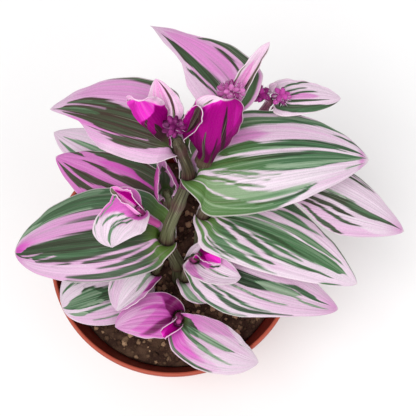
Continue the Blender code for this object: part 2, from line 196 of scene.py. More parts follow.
# What a leaf is unless its own entry says otherwise.
# width: widest; droop, sweep: degrees the midrib turns down and sideways from foot to tip
# left: share of the width left of the midrib; fold, curl: degrees each half tilts and bends
# early, late: how blunt the outline is at foot and tip; sheath: length wrapped on the stem
# grasp: degrees each way the sheath reaches; bend, flare: how soon it leaves the stem and opens
# lobe: how far the foot of the blade reaches back; slack: extra room round the stem
# aim: compass side of the stem it leaves from (None: towards the tip)
# facing: compass direction that the blade is square to (None: the way it points)
# ruffle: how far the margin waves up and down
PLAIN = dict(width=36.0, droop=30.0, sweep=0.0, left=0.5, fold=4.0, curl=-20.0, early=0.36,
             late=0.75, sheath=5.0, grasp=150.0, bend=7.0, flare=6.0, lobe=5.0, slack=0.0,
             aim=None, facing=None, ruffle=0.25)

# name: stem, point on the stem, tip, and what differs from the plain leaf
LEAVES = {
    "leaf_right_high": ("stem_main", 4, (84, 17, 178), dict(
        width=45, droop=45, sweep=22, left=0.45, curl=(-20, -40), lobe=8, slack=0.2)),
    "leaf_left_mid": ("stem_main", 2, (-70, -11, 138), dict(
        width=44.5, droop=40, sweep=6, left=0.43, curl=-25, late=0.58, slack=0.4)),
    "leaf_left_high": ("stem_main", 5, (-48, 32, 196), dict(
        width=36.5, droop=42, left=0.35, curl=(-25, -20), lobe=1)),
    "leaf_right_mid": ("stem_right", 2, (82, -27, 142), dict(
        sweep=35, left=0.43, late=0.7, lobe=8, slack=0.2)),
    "leaf_right_low": ("stem_front_right", 2, (76, -33, 120), dict(
        width=33, sweep=-12, left=0.54, lobe=3, slack=0.3, sheath=4)),
    "leaf_right_back": ("stem_right", 3, (102, -6, 152), dict(width=37, droop=28, left=0.58)),
    "leaf_back_high": ("stem_branch", 3, (-7, 65, 206), dict(
        width=29, droop=40, sweep=-10, left=0.35, early=0.32, late=1.25, slack=0.4)),
    "leaf_left_back": ("stem_left", 2, (-54, 35, 138), dict(width=32, droop=20)),
    "leaf_left_low_back": ("stem_back_left", 2, (-59, 57, 116), dict(width=28, droop=20)),
    "leaf_back_low_left": ("stem_back_left", 1, (-29, 72, 108), dict(width=26, droop=25)),
    "leaf_back_low": ("stem_back_right", 1, (32, 62, 108), dict(width=26)),
    "leaf_back_low_right": ("stem_back_right", 2, (71, 48, 116), dict(width=28)),
    "leaf_front_right": ("stem_front", 3, (40, -54, 102), dict(
        width=27, droop=25, sweep=-20, left=0.42, slack=0.2)),
    "leaf_front_left": ("stem_front", 2, (-27, -38, 106), dict(
        width=24, droop=15, sweep=-40, lobe=2, slack=0.4)),
    "leaf_left_low": ("stem_front_left", 1, (-52.5, -28.5, 105), dict(
        width=40, droop=25, left=0.4, late=0.5, lobe=2)),
    "leaf_left_folded": ("stem_front_left", 2, (-26, -32, 114), dict(
        width=28, sweep=-20, left=0.4, fold=25, curl=20, slack=0.2)),
    "leaf_front_small": ("stem_front_right", 1, (16, -27, 108), dict(
        width=16, fold=10, curl=0, sheath=4, grasp=120, lobe=1, slack=0.2)),
    "leaf_front_bud": ("stem_front", 4, (-4, -45, 117), dict(
        width=9, droop=10, fold=20, curl=80, sheath=2, early=0.5, late=0.7, grasp=110, bend=5,
        lobe=0, slack=0.2)),
    "leaf_back_small": ("stem_right", 6, (71, 37, 196), dict(
        width=17, droop=20, sheath=3, grasp=70)),
    "leaf_cup_right": ("stem_front_right", 3, (31, -24, 142), dict(
        width=19, droop=70, sweep=-60, fold=5, curl=25, sheath=3, slack=0.5)),
    "leaf_cup_right_inner": ("stem_front_right", 4, (22, -19.5, 148), dict(
        width=13, droop=20, fold=20, curl=50, sheath=2, grasp=110, bend=4, lobe=0, slack=0.2)),
    "leaf_cup_left": ("stem_side_shoot", 2, (-24, -17, 164), dict(
        width=29, droop=60, sweep=-95, left=0.48, fold=10, curl=15, sheath=3, slack=0.3)),
    "leaf_cup_left_inner": ("stem_side_shoot", 3, (-23.5, 2.5, 184), dict(
        width=16, droop=-60, fold=50, curl=30, sheath=2, bend=3, lobe=0, slack=0.2)),
    "leaf_rolled": ("stem_left", 4, (-3, 15, 184), dict(
        width=24, droop=0, fold=10, curl=110, sheath=3, bend=5, lobe=3, slack=0.2)),
    "bract_upright": ("stem_branch", 1, (22.5, 17.5, 236), dict(
        width=24, droop=15, fold=5, curl=45, early=0.5, late=0.38, sheath=3,
        grasp=120, bend=4, flare=7, lobe=0, slack=0.4, aim=-95, facing=90, ruffle=0.5)),
    "bract_narrow": ("stem_branch", 4, (40, 44, 231), dict(
        width=12, droop=10, fold=45, curl=20, early=0.6, late=0.9, sheath=2, grasp=60,
        bend=3, aim=50)),
    "bract_curl": ("stem_right", 6, (44.5, 40, 203), dict(
        width=5, droop=40, sweep=80, fold=20, curl=20, sheath=3, grasp=35, lobe=0, aim=125)),
    "bract_left": ("stem_main", 6, (-9, 17.5, 235), dict(
        width=18, droop=-60, fold=10, curl=50, early=0.55, late=0.45, sheath=2,
        grasp=35, bend=2, flare=8, lobe=0, aim=205, facing=85)),
    "bract_pointed": ("stem_main", 6, (-3.5, 31, 226), dict(
        width=15, droop=10, fold=20, curl=0, early=0.5, late=0.8, sheath=2, grasp=35,
        bend=3, lobe=0, aim=110, facing=90)),
    "bract_right": ("stem_main", 6, (13.5, 16, 233), dict(
        width=11, droop=-30, left=0.4, fold=5, curl=50, early=0.5, late=0.5, sheath=2, grasp=35,
        bend=2, lobe=0, aim=10, facing=45)),
}

# Colours of each leaf. Across is -1 to 1 from the left margin to the right one, seen from the foot
# towards the tip, and along is 0 at the foot and 1 at the tip.
# bands: green stripes, as depth and then (along, left edge, right edge) at each place; depth 0 is
# pale sage, 0.5 mid green, 1 nearly black and -1 a cut, and a later band lies on an earlier one
# warm: 0 to 1, how brown the dark stripes are
# lime, reach: 0 to 1, how yellow the foot's green is, and how far along that reaches
# fresh: 0 to 1, how yellow the green is everywhere
# blush: 0 pale, 0.5 pink, 1 vivid, 2 deep magenta; tints: soft stripes that add to it, given alike
# glows: soft patches that add to it, as (across, along, reach across, reach along, amount)
# trim: where the blade is cut narrower, as (along, share of the left half, share of the right)
# wild: seed of stripes drawn by chance, for a leaf that the photograph doesn't show
# Some tints, glows and bands below are painted shade; each leaf that has them says so.
LOOKS = {}
LOOKS["leaf_right_high"] = dict(blush=0.1, lime=0.65, reach=0.5, bands=[
    (0.5, (0.3, -1, -0.94), (0.41, -1, -0.91), (0.49, -1, -0.93), (0.57, -1, -0.96), (0.62, -1, -0.98)),
    (0.3, (-0.1, -0.8, -0.5), (0.3, -0.84, -0.57), (0.41, -0.83, -0.61), (0.48, -0.84, -0.61),
     (0.55, -0.88, -0.66), (0.61, -0.92, -0.69), (0.68, -0.95, -0.76), (0.75, -1, -0.82),
     (0.8, -1, -0.9), (0.86, -1, -0.98)),
    (0.65, (0.3, -0.68, -0.57), (0.41, -0.7, -0.61), (0.55, -0.76, -0.66), (0.68, -0.86, -0.76),
     (0.78, -0.95, -0.86)),
    (0.8, (0.79, -0.7, -0.64), (0.88, -0.84, -0.7), (0.95, -1, -0.9)),
    (0.75, (0.2, -0.24, -0.06), (0.28, -0.26, -0.05), (0.33, -0.28, -0.05), (0.36, -0.23, -0.04),
     (0.4, -0.2, -0.04), (0.48, -0.22, -0.03), (0.59, -0.25, -0.05), (0.67, -0.28, -0.06),
     (0.76, -0.29, -0.08), (0.82, -0.32, -0.15), (0.88, -0.36, -0.18), (0.94, -0.41, -0.28)),
    (0.1, (0.22, -0.14, -0.06), (0.3, -0.13, -0.04), (0.38, -0.13, -0.04), (0.48, -0.1, -0.03),
     (0.59, -0.09, -0.05), (0.64, -0.08, -0.06)),
    (0.75, (0.79, -0.12, -0.09), (0.85, -0.12, -0.08)),
    (0.52, (-0.1, 0, 0.14), (0.12, -0.02, 0.15), (0.19, -0.03, 0.21), (0.25, 0, 0.26),
     (0.32, 0.03, 0.3), (0.4, 0.04, 0.35), (0.48, 0.04, 0.38), (0.58, 0.04, 0.4), (0.66, 0.01, 0.41),
     (0.75, 0, 0.34), (0.85, -0.01, 0.3), (0.91, -0.03, 0.24), (0.98, -0.13, -0.04)),
    (0.12, (0.4, 0.22, 0.31), (0.49, 0.25, 0.35), (0.58, 0.26, 0.38), (0.67, 0.25, 0.39),
     (0.75, 0.24, 0.33), (0.85, 0.21, 0.3), (0.93, 0.12, 0.2)),
    (0.95, (0.05, 0, 0.06), (0.13, 0.03, 0.08), (0.22, 0, 0.1), (0.32, 0.04, 0.13), (0.42, 0.05, 0.15),
     (0.58, 0.05, 0.13), (0.67, 0.05, 0.08)),
    (0.35, (0.1, 0.15, 0.18), (0.2, 0.23, 0.28), (0.27, 0.28, 0.36), (0.33, 0.33, 0.38)),
    (0.15, (0.32, 0.37, 0.39), (0.46, 0.42, 0.44)),
    (0.3, (0.12, 0.2, 0.23), (0.22, 0.32, 0.34), (0.29, 0.4, 0.42), (0.39, 0.47, 0.49)),
    (0.04, (-0.1, 0.3, 0.5), (0.05, 0.38, 0.52), (0.09, 0.36, 0.54), (0.14, 0.38, 0.61),
     (0.21, 0.49, 0.72), (0.26, 0.59, 0.76), (0.35, 0.66, 0.8), (0.42, 0.69, 0.8), (0.54, 0.68, 0.8),
     (0.6, 0.68, 0.76), (0.67, 0.68, 0.7)),
    (0.72, (-0.1, 0.25, 0.4), (0.05, 0.27, 0.4), (0.12, 0.28, 0.35), (0.17, 0.35, 0.41),
     (0.21, 0.41, 0.49), (0.26, 0.49, 0.53), (0.31, 0.54, 0.57), (0.36, 0.58, 0.6)),
    (0.62, (-0.1, 0.55, 1), (0.05, 0.55, 1), (0.09, 0.57, 1), (0.14, 0.64, 1), (0.18, 0.71, 1),
     (0.27, 0.79, 1), (0.35, 0.82, 1), (0.42, 0.82, 0.99), (0.54, 0.82, 0.93), (0.6, 0.78, 0.87),
     (0.67, 0.73, 0.75)),
    (0, (0.04, 0.83, 0.91), (0.08, 0.76, 0.81), (0.12, 0.78, 0.83), (0.17, 0.83, 0.87),
     (0.29, 0.89, 0.92), (0.4, 0.88, 0.9)),
    (0.95, (0.3, 0.82, 0.87), (0.4, 0.83, 0.88), (0.5, 0.84, 0.9), (0.6, 0.8, 0.85)),
    (0.3, (0.86, 0.53, 0.6), (0.95, 0.5, 0.56))],
    tints=[(0.4, (0, -0.55, -0.25), (0.3, -0.55, -0.26), (0.37, -0.5, -0.3)),
           (0.1, (0.3, -0.6, -0.26), (0.6, -0.65, -0.26), (0.8, -0.7, -0.42)),
           (-0.1, (0.25, 0.42, 0.56), (0.4, 0.45, 0.66), (0.8, 0.45, 0.7))],
    glows=[(0.7, 0.8, 0.3, 0.12, 0.12), (0, 0.955, 1.2, 0.02, 0.5)])
LOOKS["leaf_left_mid"] = dict(blush=0.38, lime=1.0, warm=0.4, bands=[
    (0.6, (-0.1, 0.55, 1), (0.5, 0.56, 1), (0.7, 0.57, 1), (0.82, 0.56, 1), (0.89, 0.62, 1)),
    (0.1, (0.45, 0.56, 0.62), (0.6, 0.58, 0.63), (0.85, 0.6, 0.66)),
    (0.3, (0.4, 0.86, 1), (0.6, 0.86, 1), (0.85, 0.8, 1)),
    (0.15, (0.84, 0.6, 0.75), (0.9, 0.6, 0.85), (0.96, 0.7, 1)),
    (0.85, (0.2, 0.35, 0.44), (0.45, 0.35, 0.43), (0.6, 0.36, 0.41), (0.68, 0.38, 0.39)),
    (0.9, (-0.1, -0.1, 0.3), (0.05, -0.16, 0.3), (0.1, -0.24, 0.28), (0.2, -0.29, 0.26),
     (0.3, -0.36, 0.22), (0.4, -0.41, 0.19), (0.5, -0.45, 0.16), (0.6, -0.49, 0.15), (0.7, -0.5, 0.13),
     (0.78, -0.54, 0.11), (0.83, -0.56, 0.1), (0.86, -0.42, 0.1), (0.9, -0.48, 0.06),
     (0.95, -0.52, -0.2)),
    (0.7, (0.42, -0.34, -0.22), (0.6, -0.42, -0.26), (0.75, -0.46, -0.3), (0.82, -0.5, -0.34)),
    (0.85, (0.1, -0.3, -0.27), (0.16, -0.4, -0.32), (0.3, -0.5, -0.4), (0.4, -0.53, -0.46),
     (0.5, -0.55, -0.52)),
    (-1, (0.14, -0.31, -0.28), (0.2, -0.34, -0.31), (0.3, -0.405, -0.38), (0.4, -0.46, -0.43),
     (0.5, -0.49, -0.465), (0.6, -0.5, -0.485)),
    (-1, (0.7, -0.35, -0.34), (0.76, -0.44, -0.41), (0.83, -0.52, -0.47)),
    (-1, (0.78, -0.23, -0.22), (0.84, -0.31, -0.27), (0.93, -0.42, -0.36)),
    (0.8, (0.6, -0.56, -0.53), (0.66, -0.6, -0.57), (0.72, -0.63, -0.61)),
    (0.85, (0.02, -0.45, -0.2), (0.1, -0.56, -0.39), (0.2, -0.65, -0.5), (0.3, -0.7, -0.61),
     (0.42, -0.71, -0.69)),
    (0.8, (-0.1, -0.8, -0.4), (0.05, -0.8, -0.48), (0.1, -0.79, -0.6), (0.2, -0.85, -0.69),
     (0.3, -0.92, -0.75), (0.4, -0.92, -0.79), (0.5, -0.92, -0.82), (0.62, -0.91, -0.86)),
    (-1, (0.05, -0.5, -0.47), (0.1, -0.6, -0.575), (0.2, -0.7, -0.66), (0.3, -0.75, -0.71)),
    (0.75, (-0.1, -1, -0.75), (0.1, -0.97, -0.83), (0.2, -1, -0.88), (0.3, -1, -0.94),
     (0.62, -1, -0.96)),
    (-1, (0.07, -0.82, -0.8), (0.2, -0.89, -0.865), (0.3, -0.95, -0.925), (0.5, -0.97, -0.94),
     (0.62, -0.965, -0.93))],
    tints=[(0.14, (0.4, 0.15, 0.6), (0.7, 0.12, 0.55), (0.9, 0.1, 0.5)),
           (-0.1, (0.5, -0.85, -0.55), (0.8, -0.85, -0.62), (0.9, -0.8, -0.6))],
    glows=[(0.05, 0.97, 0.35, 0.09, 0.7), (-0.5, 1, 0.5, 0.06, 0.35), (0.9, 0.95, 0.4, 0.2, -0.3)])
LOOKS["leaf_left_high"] = dict(blush=0.44, warm=0.9, bands=[
    (0.7, (-0.1, 0.6, 1), (0.2, 0.75, 1), (0.36, 0.88, 1), (0.45, 0.9, 1), (0.66, 0.98, 1)),
    (0.95, (-0.1, -0.2, 0.2), (0.05, -0.26, 0.2), (0.1, -0.38, 0.25), (0.15, -0.46, 0.28),
     (0.2, -0.55, 0.3), (0.3, -0.64, 0.3), (0.4, -0.65, 0.31), (0.45, -0.62, 0.33), (0.5, -0.59, 0.37),
     (0.54, -0.42, 0.4), (0.6, -0.29, 0.43), (0.7, -0.24, 0.48), (0.76, -0.21, 0.49),
     (0.82, -0.18, 0.46), (0.87, -0.14, 0.4), (0.89, -0.05, 0.2)),
    (0.5, (0.6, 0.06, 0.12), (0.7, 0.03, 0.17), (0.8, 0.04, 0.2), (0.9, 0.06, 0.17)),
    (0.65, (0.5, 0.24, 0.3), (0.7, 0.3, 0.4), (0.86, 0.34, 0.42)),
    (-1, (0.56, 0.215, 0.225), (0.66, 0.225, 0.245), (0.75, 0.25, 0.28), (0.85, 0.26, 0.32),
     (0.95, 0.25, 0.35)),
    (-1, (0.68, -0.025, -0.015), (0.76, -0.05, -0.01), (0.85, -0.06, 0.02), (0.95, -0.05, 0.06)),
    (-1, (0.2, -0.25, -0.23), (0.3, -0.33, -0.3), (0.45, -0.41, -0.35), (0.55, -0.42, -0.34),
     (0.63, -0.44, -0.28)),
    (0.9, (0.4, -0.49, -0.45), (0.5, -0.5, -0.44), (0.58, -0.47, -0.42), (0.63, -0.44, -0.42)),
    (-1, (0.44, -0.55, -0.52), (0.52, -0.6, -0.5), (0.6, -0.6, -0.48))],
    tints=[(0.12, (0.3, 0.45, 0.95), (0.6, 0.5, 0.95), (0.75, 0.55, 0.9)),
           (0.3, (0.2, -0.34, -0.28), (0.5, -0.42, -0.3), (0.78, -0.44, -0.2)),
           (-0.14, (-0.1, -1, -0.66), (0.3, -1, -0.7), (0.45, -1, -0.74))],
    glows=[(0.5, 1, 1.2, 0.14, -0.25)],
    trim=[(0, 0.5, 1), (0.03, 0.8, 1), (0.07, 1, 1), (0.5, 1, 1), (0.6, 0.8, 1),
          (0.66, 0.55, 1), (0.72, 0.36, 1), (0.85, 0.3, 1), (1, 0.3, 1)])
LOOKS["leaf_right_mid"] = dict(blush=0.08, lime=0.8, warm=0, fresh=0.1, bands=[
    (0.6, (0.38, -1.1, -0.66), (0.48, -1.1, -0.71), (0.55, -0.95, -0.74), (0.61, -0.9, -0.77),
     (0.64, -0.85, -0.8)),
    (0.8, (0.6, -1, -0.77), (0.68, -1, -0.65), (0.75, -1, -0.65), (0.83, -1, -0.58), (0.91, -1, -0.5),
     (0.97, -1, -0.5)),
    (0.5, (0.3, -0.42, -0.4), (0.36, -0.47, -0.43), (0.4, -0.58, -0.41), (0.46, -0.62, -0.39),
     (0.52, -0.59, -0.39), (0.59, -0.54, -0.44), (0.64, -0.56, -0.49), (0.68, -0.55, -0.53)),
    (0.38, (0.1, -0.1, -0.05), (0.29, -0.24, -0.1), (0.4, -0.19, -0.08), (0.53, -0.25, -0.07),
     (0.62, -0.24, -0.02), (0.7, -0.23, -0.05), (0.78, -0.23, -0.1), (0.84, -0.26, -0.2)),
    (0.48, (0, -0.02, 0.06), (0.11, -0.02, 0.1), (0.21, -0.06, 0.2), (0.27, -0.09, 0.24),
     (0.35, -0.07, 0.28), (0.47, -0.05, 0.32), (0.56, 0, 0.37), (0.62, 0.01, 0.39), (0.69, 0, 0.39),
     (0.75, -0.04, 0.37), (0.82, -0.08, 0.32), (0.87, -0.04, 0.3), (0.9, 0.02, 0.12)),
    (0.85, (0.08, 0.02, 0.08), (0.2, 0.04, 0.14), (0.3, 0.12, 0.22), (0.4, 0.14, 0.25),
     (0.5, 0.2, 0.3), (0.6, 0.28, 0.35), (0.7, 0.32, 0.37)),
    (-1, (0.2, 0.235, 0.25), (0.28, 0.235, 0.255), (0.36, 0.27, 0.295), (0.45, 0.31, 0.33),
     (0.53, 0.345, 0.355)),
    (0.78, (0, 0.05, 0.12), (0.05, 0.08, 0.13), (0.09, 0.11, 0.19), (0.15, 0.16, 0.27),
     (0.22, 0.27, 0.37), (0.29, 0.35, 0.46), (0.36, 0.42, 0.55), (0.43, 0.49, 0.61), (0.5, 0.52, 0.63),
     (0.57, 0.52, 0.65), (0.64, 0.55, 0.66), (0.71, 0.55, 0.65), (0.77, 0.54, 0.6), (0.84, 0.57, 0.62)),
    (0.1, (0.46, 0.56, 0.6), (0.56, 0.57, 0.62), (0.63, 0.6, 0.63)),
    (0.6, (0.28, 0.24, 0.27), (0.34, 0.28, 0.33), (0.39, 0.3, 0.38), (0.45, 0.34, 0.43),
     (0.52, 0.38, 0.46), (0.59, 0.42, 0.48), (0.64, 0.45, 0.49)),
    (0.62, (-0.1, 0.15, 0.42), (0.04, 0.17, 0.45), (0.1, 0.3, 0.48), (0.18, 0.42, 0.6),
     (0.24, 0.54, 0.68), (0.31, 0.6, 0.72), (0.38, 0.66, 0.75), (0.47, 0.74, 0.79)),
    (0.15, (0.08, 0.44, 0.5), (0.16, 0.52, 0.59), (0.25, 0.64, 0.69), (0.33, 0.7, 0.73)),
    (0.55, (-0.1, 0.46, 0.75), (0.06, 0.5, 0.7), (0.1, 0.53, 0.71), (0.14, 0.57, 0.76),
     (0.2, 0.66, 0.84), (0.27, 0.75, 0.89), (0.34, 0.83, 0.94), (0.42, 0.88, 0.96), (0.53, 0.95, 0.98)),
    (0.9, (0.09, 0.73, 0.77), (0.15, 0.8, 0.84), (0.19, 0.85, 0.89), (0.26, 0.92, 0.95)),
    (0.4, (-0.1, 0.78, 0.95), (0.05, 0.78, 0.9), (0.14, 0.86, 0.91), (0.22, 0.95, 1)),
    (0.55, (0.84, 0.9, 1), (0.89, 0.88, 0.96), (0.92, 0.88, 0.92))],
    tints=[(0.12, (0.3, 0.47, 0.6), (0.5, 0.7, 0.9))],
    trim=[(0, 1, 1), (0.4, 1, 1), (0.46, 0.98, 1), (0.54, 0.86, 1), (0.6, 0.79, 1),
          (0.68, 0.72, 1), (0.75, 0.72, 1), (0.83, 0.65, 1), (0.91, 0.57, 1), (1, 0.57, 1)])
LOOKS["leaf_right_low"] = dict(blush=0.07, bands=[
    (1, (-0.1, -0.16, 0.1), (0.15, -0.16, 0.14), (0.3, -0.17, 0.19), (0.38, -0.14, 0.23),
     (0.45, -0.13, 0.19), (0.52, -0.17, 0.15), (0.56, -0.19, 0.13)),
    (0.16, (0.51, -0.17, 0.14), (0.58, -0.21, 0.14), (0.62, -0.2, 0.13), (0.68, -0.14, 0.08),
     (0.71, -0.1, 0)),
    (0.62, (0.57, -0.22, -0.19), (0.61, -0.24, -0.17), (0.68, -0.32, -0.18), (0.75, -0.3, -0.12),
     (0.81, -0.26, -0.05), (0.86, -0.15, -0.04), (0.91, -0.15, -0.11)),
    (0.15, (0.62, -0.05, 0.02), (0.68, 0, 0.1), (0.76, 0.14, 0.26), (0.85, 0.21, 0.33),
     (0.91, 0.3, 0.38)),
    (0.12, (0.1, 0.25, 0.3), (0.31, 0.29, 0.35), (0.38, 0.33, 0.39), (0.48, 0.41, 0.46),
     (0.58, 0.45, 0.49), (0.64, 0.44, 0.48)),
    (0.7, (-0.1, 0.35, 0.42), (0.1, 0.44, 0.5), (0.23, 0.55, 0.6), (0.27, 0.56, 0.62),
     (0.32, 0.63, 0.71), (0.38, 0.7, 0.79), (0.44, 0.74, 0.82), (0.5, 0.77, 0.83), (0.56, 0.78, 0.81)),
    (0.82, (-0.1, 0.5, 0.6), (0.1, 0.56, 0.64), (0.2, 0.65, 0.74), (0.24, 0.68, 0.81),
     (0.31, 0.78, 0.93), (0.38, 0.85, 0.98), (0.44, 0.88, 0.97), (0.52, 0.85, 0.91), (0.6, 0.82, 0.86),
     (0.7, 0.83, 0.85)),
    (0.6, (-0.1, 0.8, 0.95), (0.14, 0.9, 1), (0.19, 1, 1.1), (0.25, 1.06, 1.17), (0.34, 1.1, 1.2),
     (0.43, 1.08, 1.12)),
    (0.6, (-0.1, -0.7, -0.45), (0.3, -0.7, -0.5), (0.5, -0.7, -0.6))],
    tints=[(0.12, (0.72, -1, 1), (0.85, -1, 1), (0.95, -1, 1))],
    glows=[(0, 1, 1.2, 0.12, 0.3)],
    trim=[(0, 1, 1), (0.1, 1, 1), (0.15, 1, 1.05), (0.2, 1, 1.12), (0.3, 1, 1.18),
          (0.4, 1, 1.15), (0.48, 1, 1.06), (0.57, 1, 0.98), (0.76, 1, 0.88), (0.9, 1, 0.92),
          (1, 1, 1)])
LOOKS["leaf_right_back"] = dict(blush=0.1, warm=0.5, bands=[
    (0.85, (0.25, -0.2, -0.12), (0.45, -0.24, -0.15), (0.56, -0.27, -0.13), (0.61, -0.27, -0.1),
     (0.67, -0.27, -0.04), (0.73, -0.23, 0.01), (0.79, -0.19, 0.05), (0.85, -0.18, -0.01),
     (0.91, -0.21, -0.04), (0.97, -0.15, -0.09)),
    (0.5, (0.68, -0.27, -0.12), (0.79, -0.19, -0.06), (0.88, -0.2, -0.1)),
    (0.08, (0.47, -0.38, -0.28), (0.55, -0.36, -0.28), (0.62, -0.34, -0.28), (0.69, -0.31, -0.28)),
    (0.9, (0.3, -0.08, -0.04), (0.45, -0.09, -0.01), (0.51, -0.06, 0.06), (0.57, -0.04, 0.07),
     (0.62, 0, 0.17), (0.66, 0.1, 0.2), (0.7, 0.17, 0.21)),
    (0.85, (0.3, 0.02, 0.06), (0.4, 0.05, 0.11), (0.46, 0.05, 0.13), (0.52, 0.14, 0.23),
     (0.57, 0.2, 0.32), (0.63, 0.32, 0.46), (0.69, 0.42, 0.55), (0.76, 0.5, 0.54)),
    (0.8, (0.3, 0.1, 0.15), (0.4, 0.16, 0.2), (0.45, 0.25, 0.34), (0.48, 0.35, 0.46),
     (0.53, 0.48, 0.64), (0.59, 0.62, 0.78), (0.63, 0.76, 0.88), (0.66, 0.88, 0.92)),
    (0.85, (0.6, -0.93, -0.87), (0.67, -0.98, -0.91), (0.72, -1, -0.94), (0.78, -1.02, -0.99)),
    (0.8, (0.63, -1.2, -1.04), (0.7, -1.2, -1.06), (0.75, -1.2, -1.06), (0.8, -1.2, -1.1))],
    tints=[(0.2, (0.3, 0.1, 1), (0.5, 0.15, 1), (0.62, 0.3, 1), (0.74, 0.5, 1), (0.84, 0.8, 1))],
    glows=[(0, 1, 1.2, 0.08, 0.4)],
    trim=[(0, 1, 1), (0.1, 1, 0.6), (0.25, 1, 0.28), (0.36, 1, 0.22), (0.4, 1, 0.24),
          (0.45, 1, 0.4), (0.5, 1, 0.58), (0.55, 1.04, 0.74), (0.6, 1.1, 0.86),
          (0.66, 1.13, 0.96), (0.75, 1.13, 1), (0.85, 1.06, 1), (1, 1, 1)])
LOOKS["leaf_back_high"] = dict(blush=0.47, warm=0.45, bands=[
    (0.7, (-0.1, 0.62, 0.85), (0.2, 0.7, 0.92), (0.3, 0.77, 0.98), (0.4, 0.79, 1), (0.45, 0.79, 0.98),
     (0.5, 0.77, 0.93), (0.55, 0.73, 0.85), (0.585, 0.68, 0.74)),
    (0.95, (-0.1, 0.45, 0.5), (0.2, 0.52, 0.57), (0.3, 0.59, 0.66), (0.4, 0.61, 0.68),
     (0.44, 0.63, 0.66)),
    (0.95, (-0.1, 0.25, 0.3), (0.3, 0.255, 0.3), (0.38, 0.265, 0.295), (0.45, 0.275, 0.285)),
    (0.92, (-0.1, -0.12, 0.08), (0.2, -0.16, 0.1), (0.3, -0.24, 0.08), (0.4, -0.3, 0.05),
     (0.5, -0.41, 0.04), (0.6, -0.4, 0.02), (0.67, -0.4, -0.02), (0.74, -0.38, -0.12),
     (0.83, -0.32, -0.24)),
    (0.9, (-0.1, -0.25, -0.18), (0.17, -0.3, -0.22), (0.3, -0.43, -0.33), (0.4, -0.55, -0.42),
     (0.44, -0.56, -0.53))],
    tints=[(0.22, (0.3, 0.1, 0.6), (0.55, 0, 0.6), (0.75, 0.1, 0.5)),
           (-0.25, (0.1, -1, -0.4), (0.5, -1, -0.4), (0.8, -1, -0.4))],
    glows=[(0, 1, 1.5, 0.16, -0.3)],
    trim=[(0, 1, 1), (0.35, 1, 1), (0.42, 0.8, 0.98), (0.5, 0.62, 0.92), (0.6, 0.62, 0.8),
          (0.7, 0.75, 0.76), (0.78, 0.92, 0.86), (0.88, 1, 1), (1, 1, 1)])
LOOKS["leaf_left_back"] = dict(blush=1.02, warm=0.9, bands=[
    (0.78, (-0.1, 0.3, 1), (0.2, 0.4, 1), (0.28, 0.44, 1), (0.34, 0.52, 0.97), (0.4, 0.62, 0.92),
     (0.5, 0.64, 0.9), (0.6, 0.64, 0.92), (0.7, 0.74, 1), (0.8, 0.92, 1)),
    (0.85, (0.79, 0.55, 0.6), (0.82, 0.6, 0.77), (0.86, 0.7, 0.95), (0.9, 0.84, 1), (0.92, 0.96, 1)),
    (0.95, (-0.1, 0.18, 0.3), (0.2, 0.2, 0.33), (0.3, 0.1, 0.36), (0.4, 0.1, 0.33), (0.5, 0.12, 0.27),
     (0.6, 0.2, 0.33), (0.7, 0.27, 0.37), (0.78, 0.36, 0.39)),
    (0.92, (-0.1, -0.12, -0.02), (0.3, -0.18, -0.03), (0.5, -0.25, -0.09), (0.6, -0.36, -0.12),
     (0.7, -0.4, -0.12), (0.8, -0.36, -0.15), (0.89, -0.3, -0.2)),
    (0.85, (-0.1, -0.4, -0.3), (0.4, -0.5, -0.36), (0.6, -0.62, -0.47), (0.7, -0.76, -0.48),
     (0.8, -0.75, -0.5), (0.87, -0.72, -0.46), (0.95, -0.62, -0.54))],
    tints=[(0.2, (0.1, 0.36, 0.62), (0.6, 0.4, 0.62)), (-0.25, (0.7, -1, 1), (0.9, -1, 1))])
LOOKS["leaf_left_low_back"] = dict(blush=0.14, bands=[
    (0.2, (-0.1, 0, 0.2), (0.3, -0.02, 0.2), (0.6, -0.06, 0.16), (0.74, -0.08, 0.1), (0.87, -0.08, 0)),
    (0.3, (0.3, -0.6, -0.5), (0.6, -0.6, -0.5), (0.75, -0.64, -0.46), (0.88, -0.6, -0.52)),
    (0.5, (-0.1, 0.5, 0.8), (0.4, 0.55, 0.8), (0.6, 0.65, 0.7))])
LOOKS["leaf_back_low_left"] = dict(blush=0.6, wild=11)
LOOKS["leaf_back_low"] = dict(blush=0.5, wild=12)
LOOKS["leaf_back_low_right"] = dict(blush=0.4, wild=13)
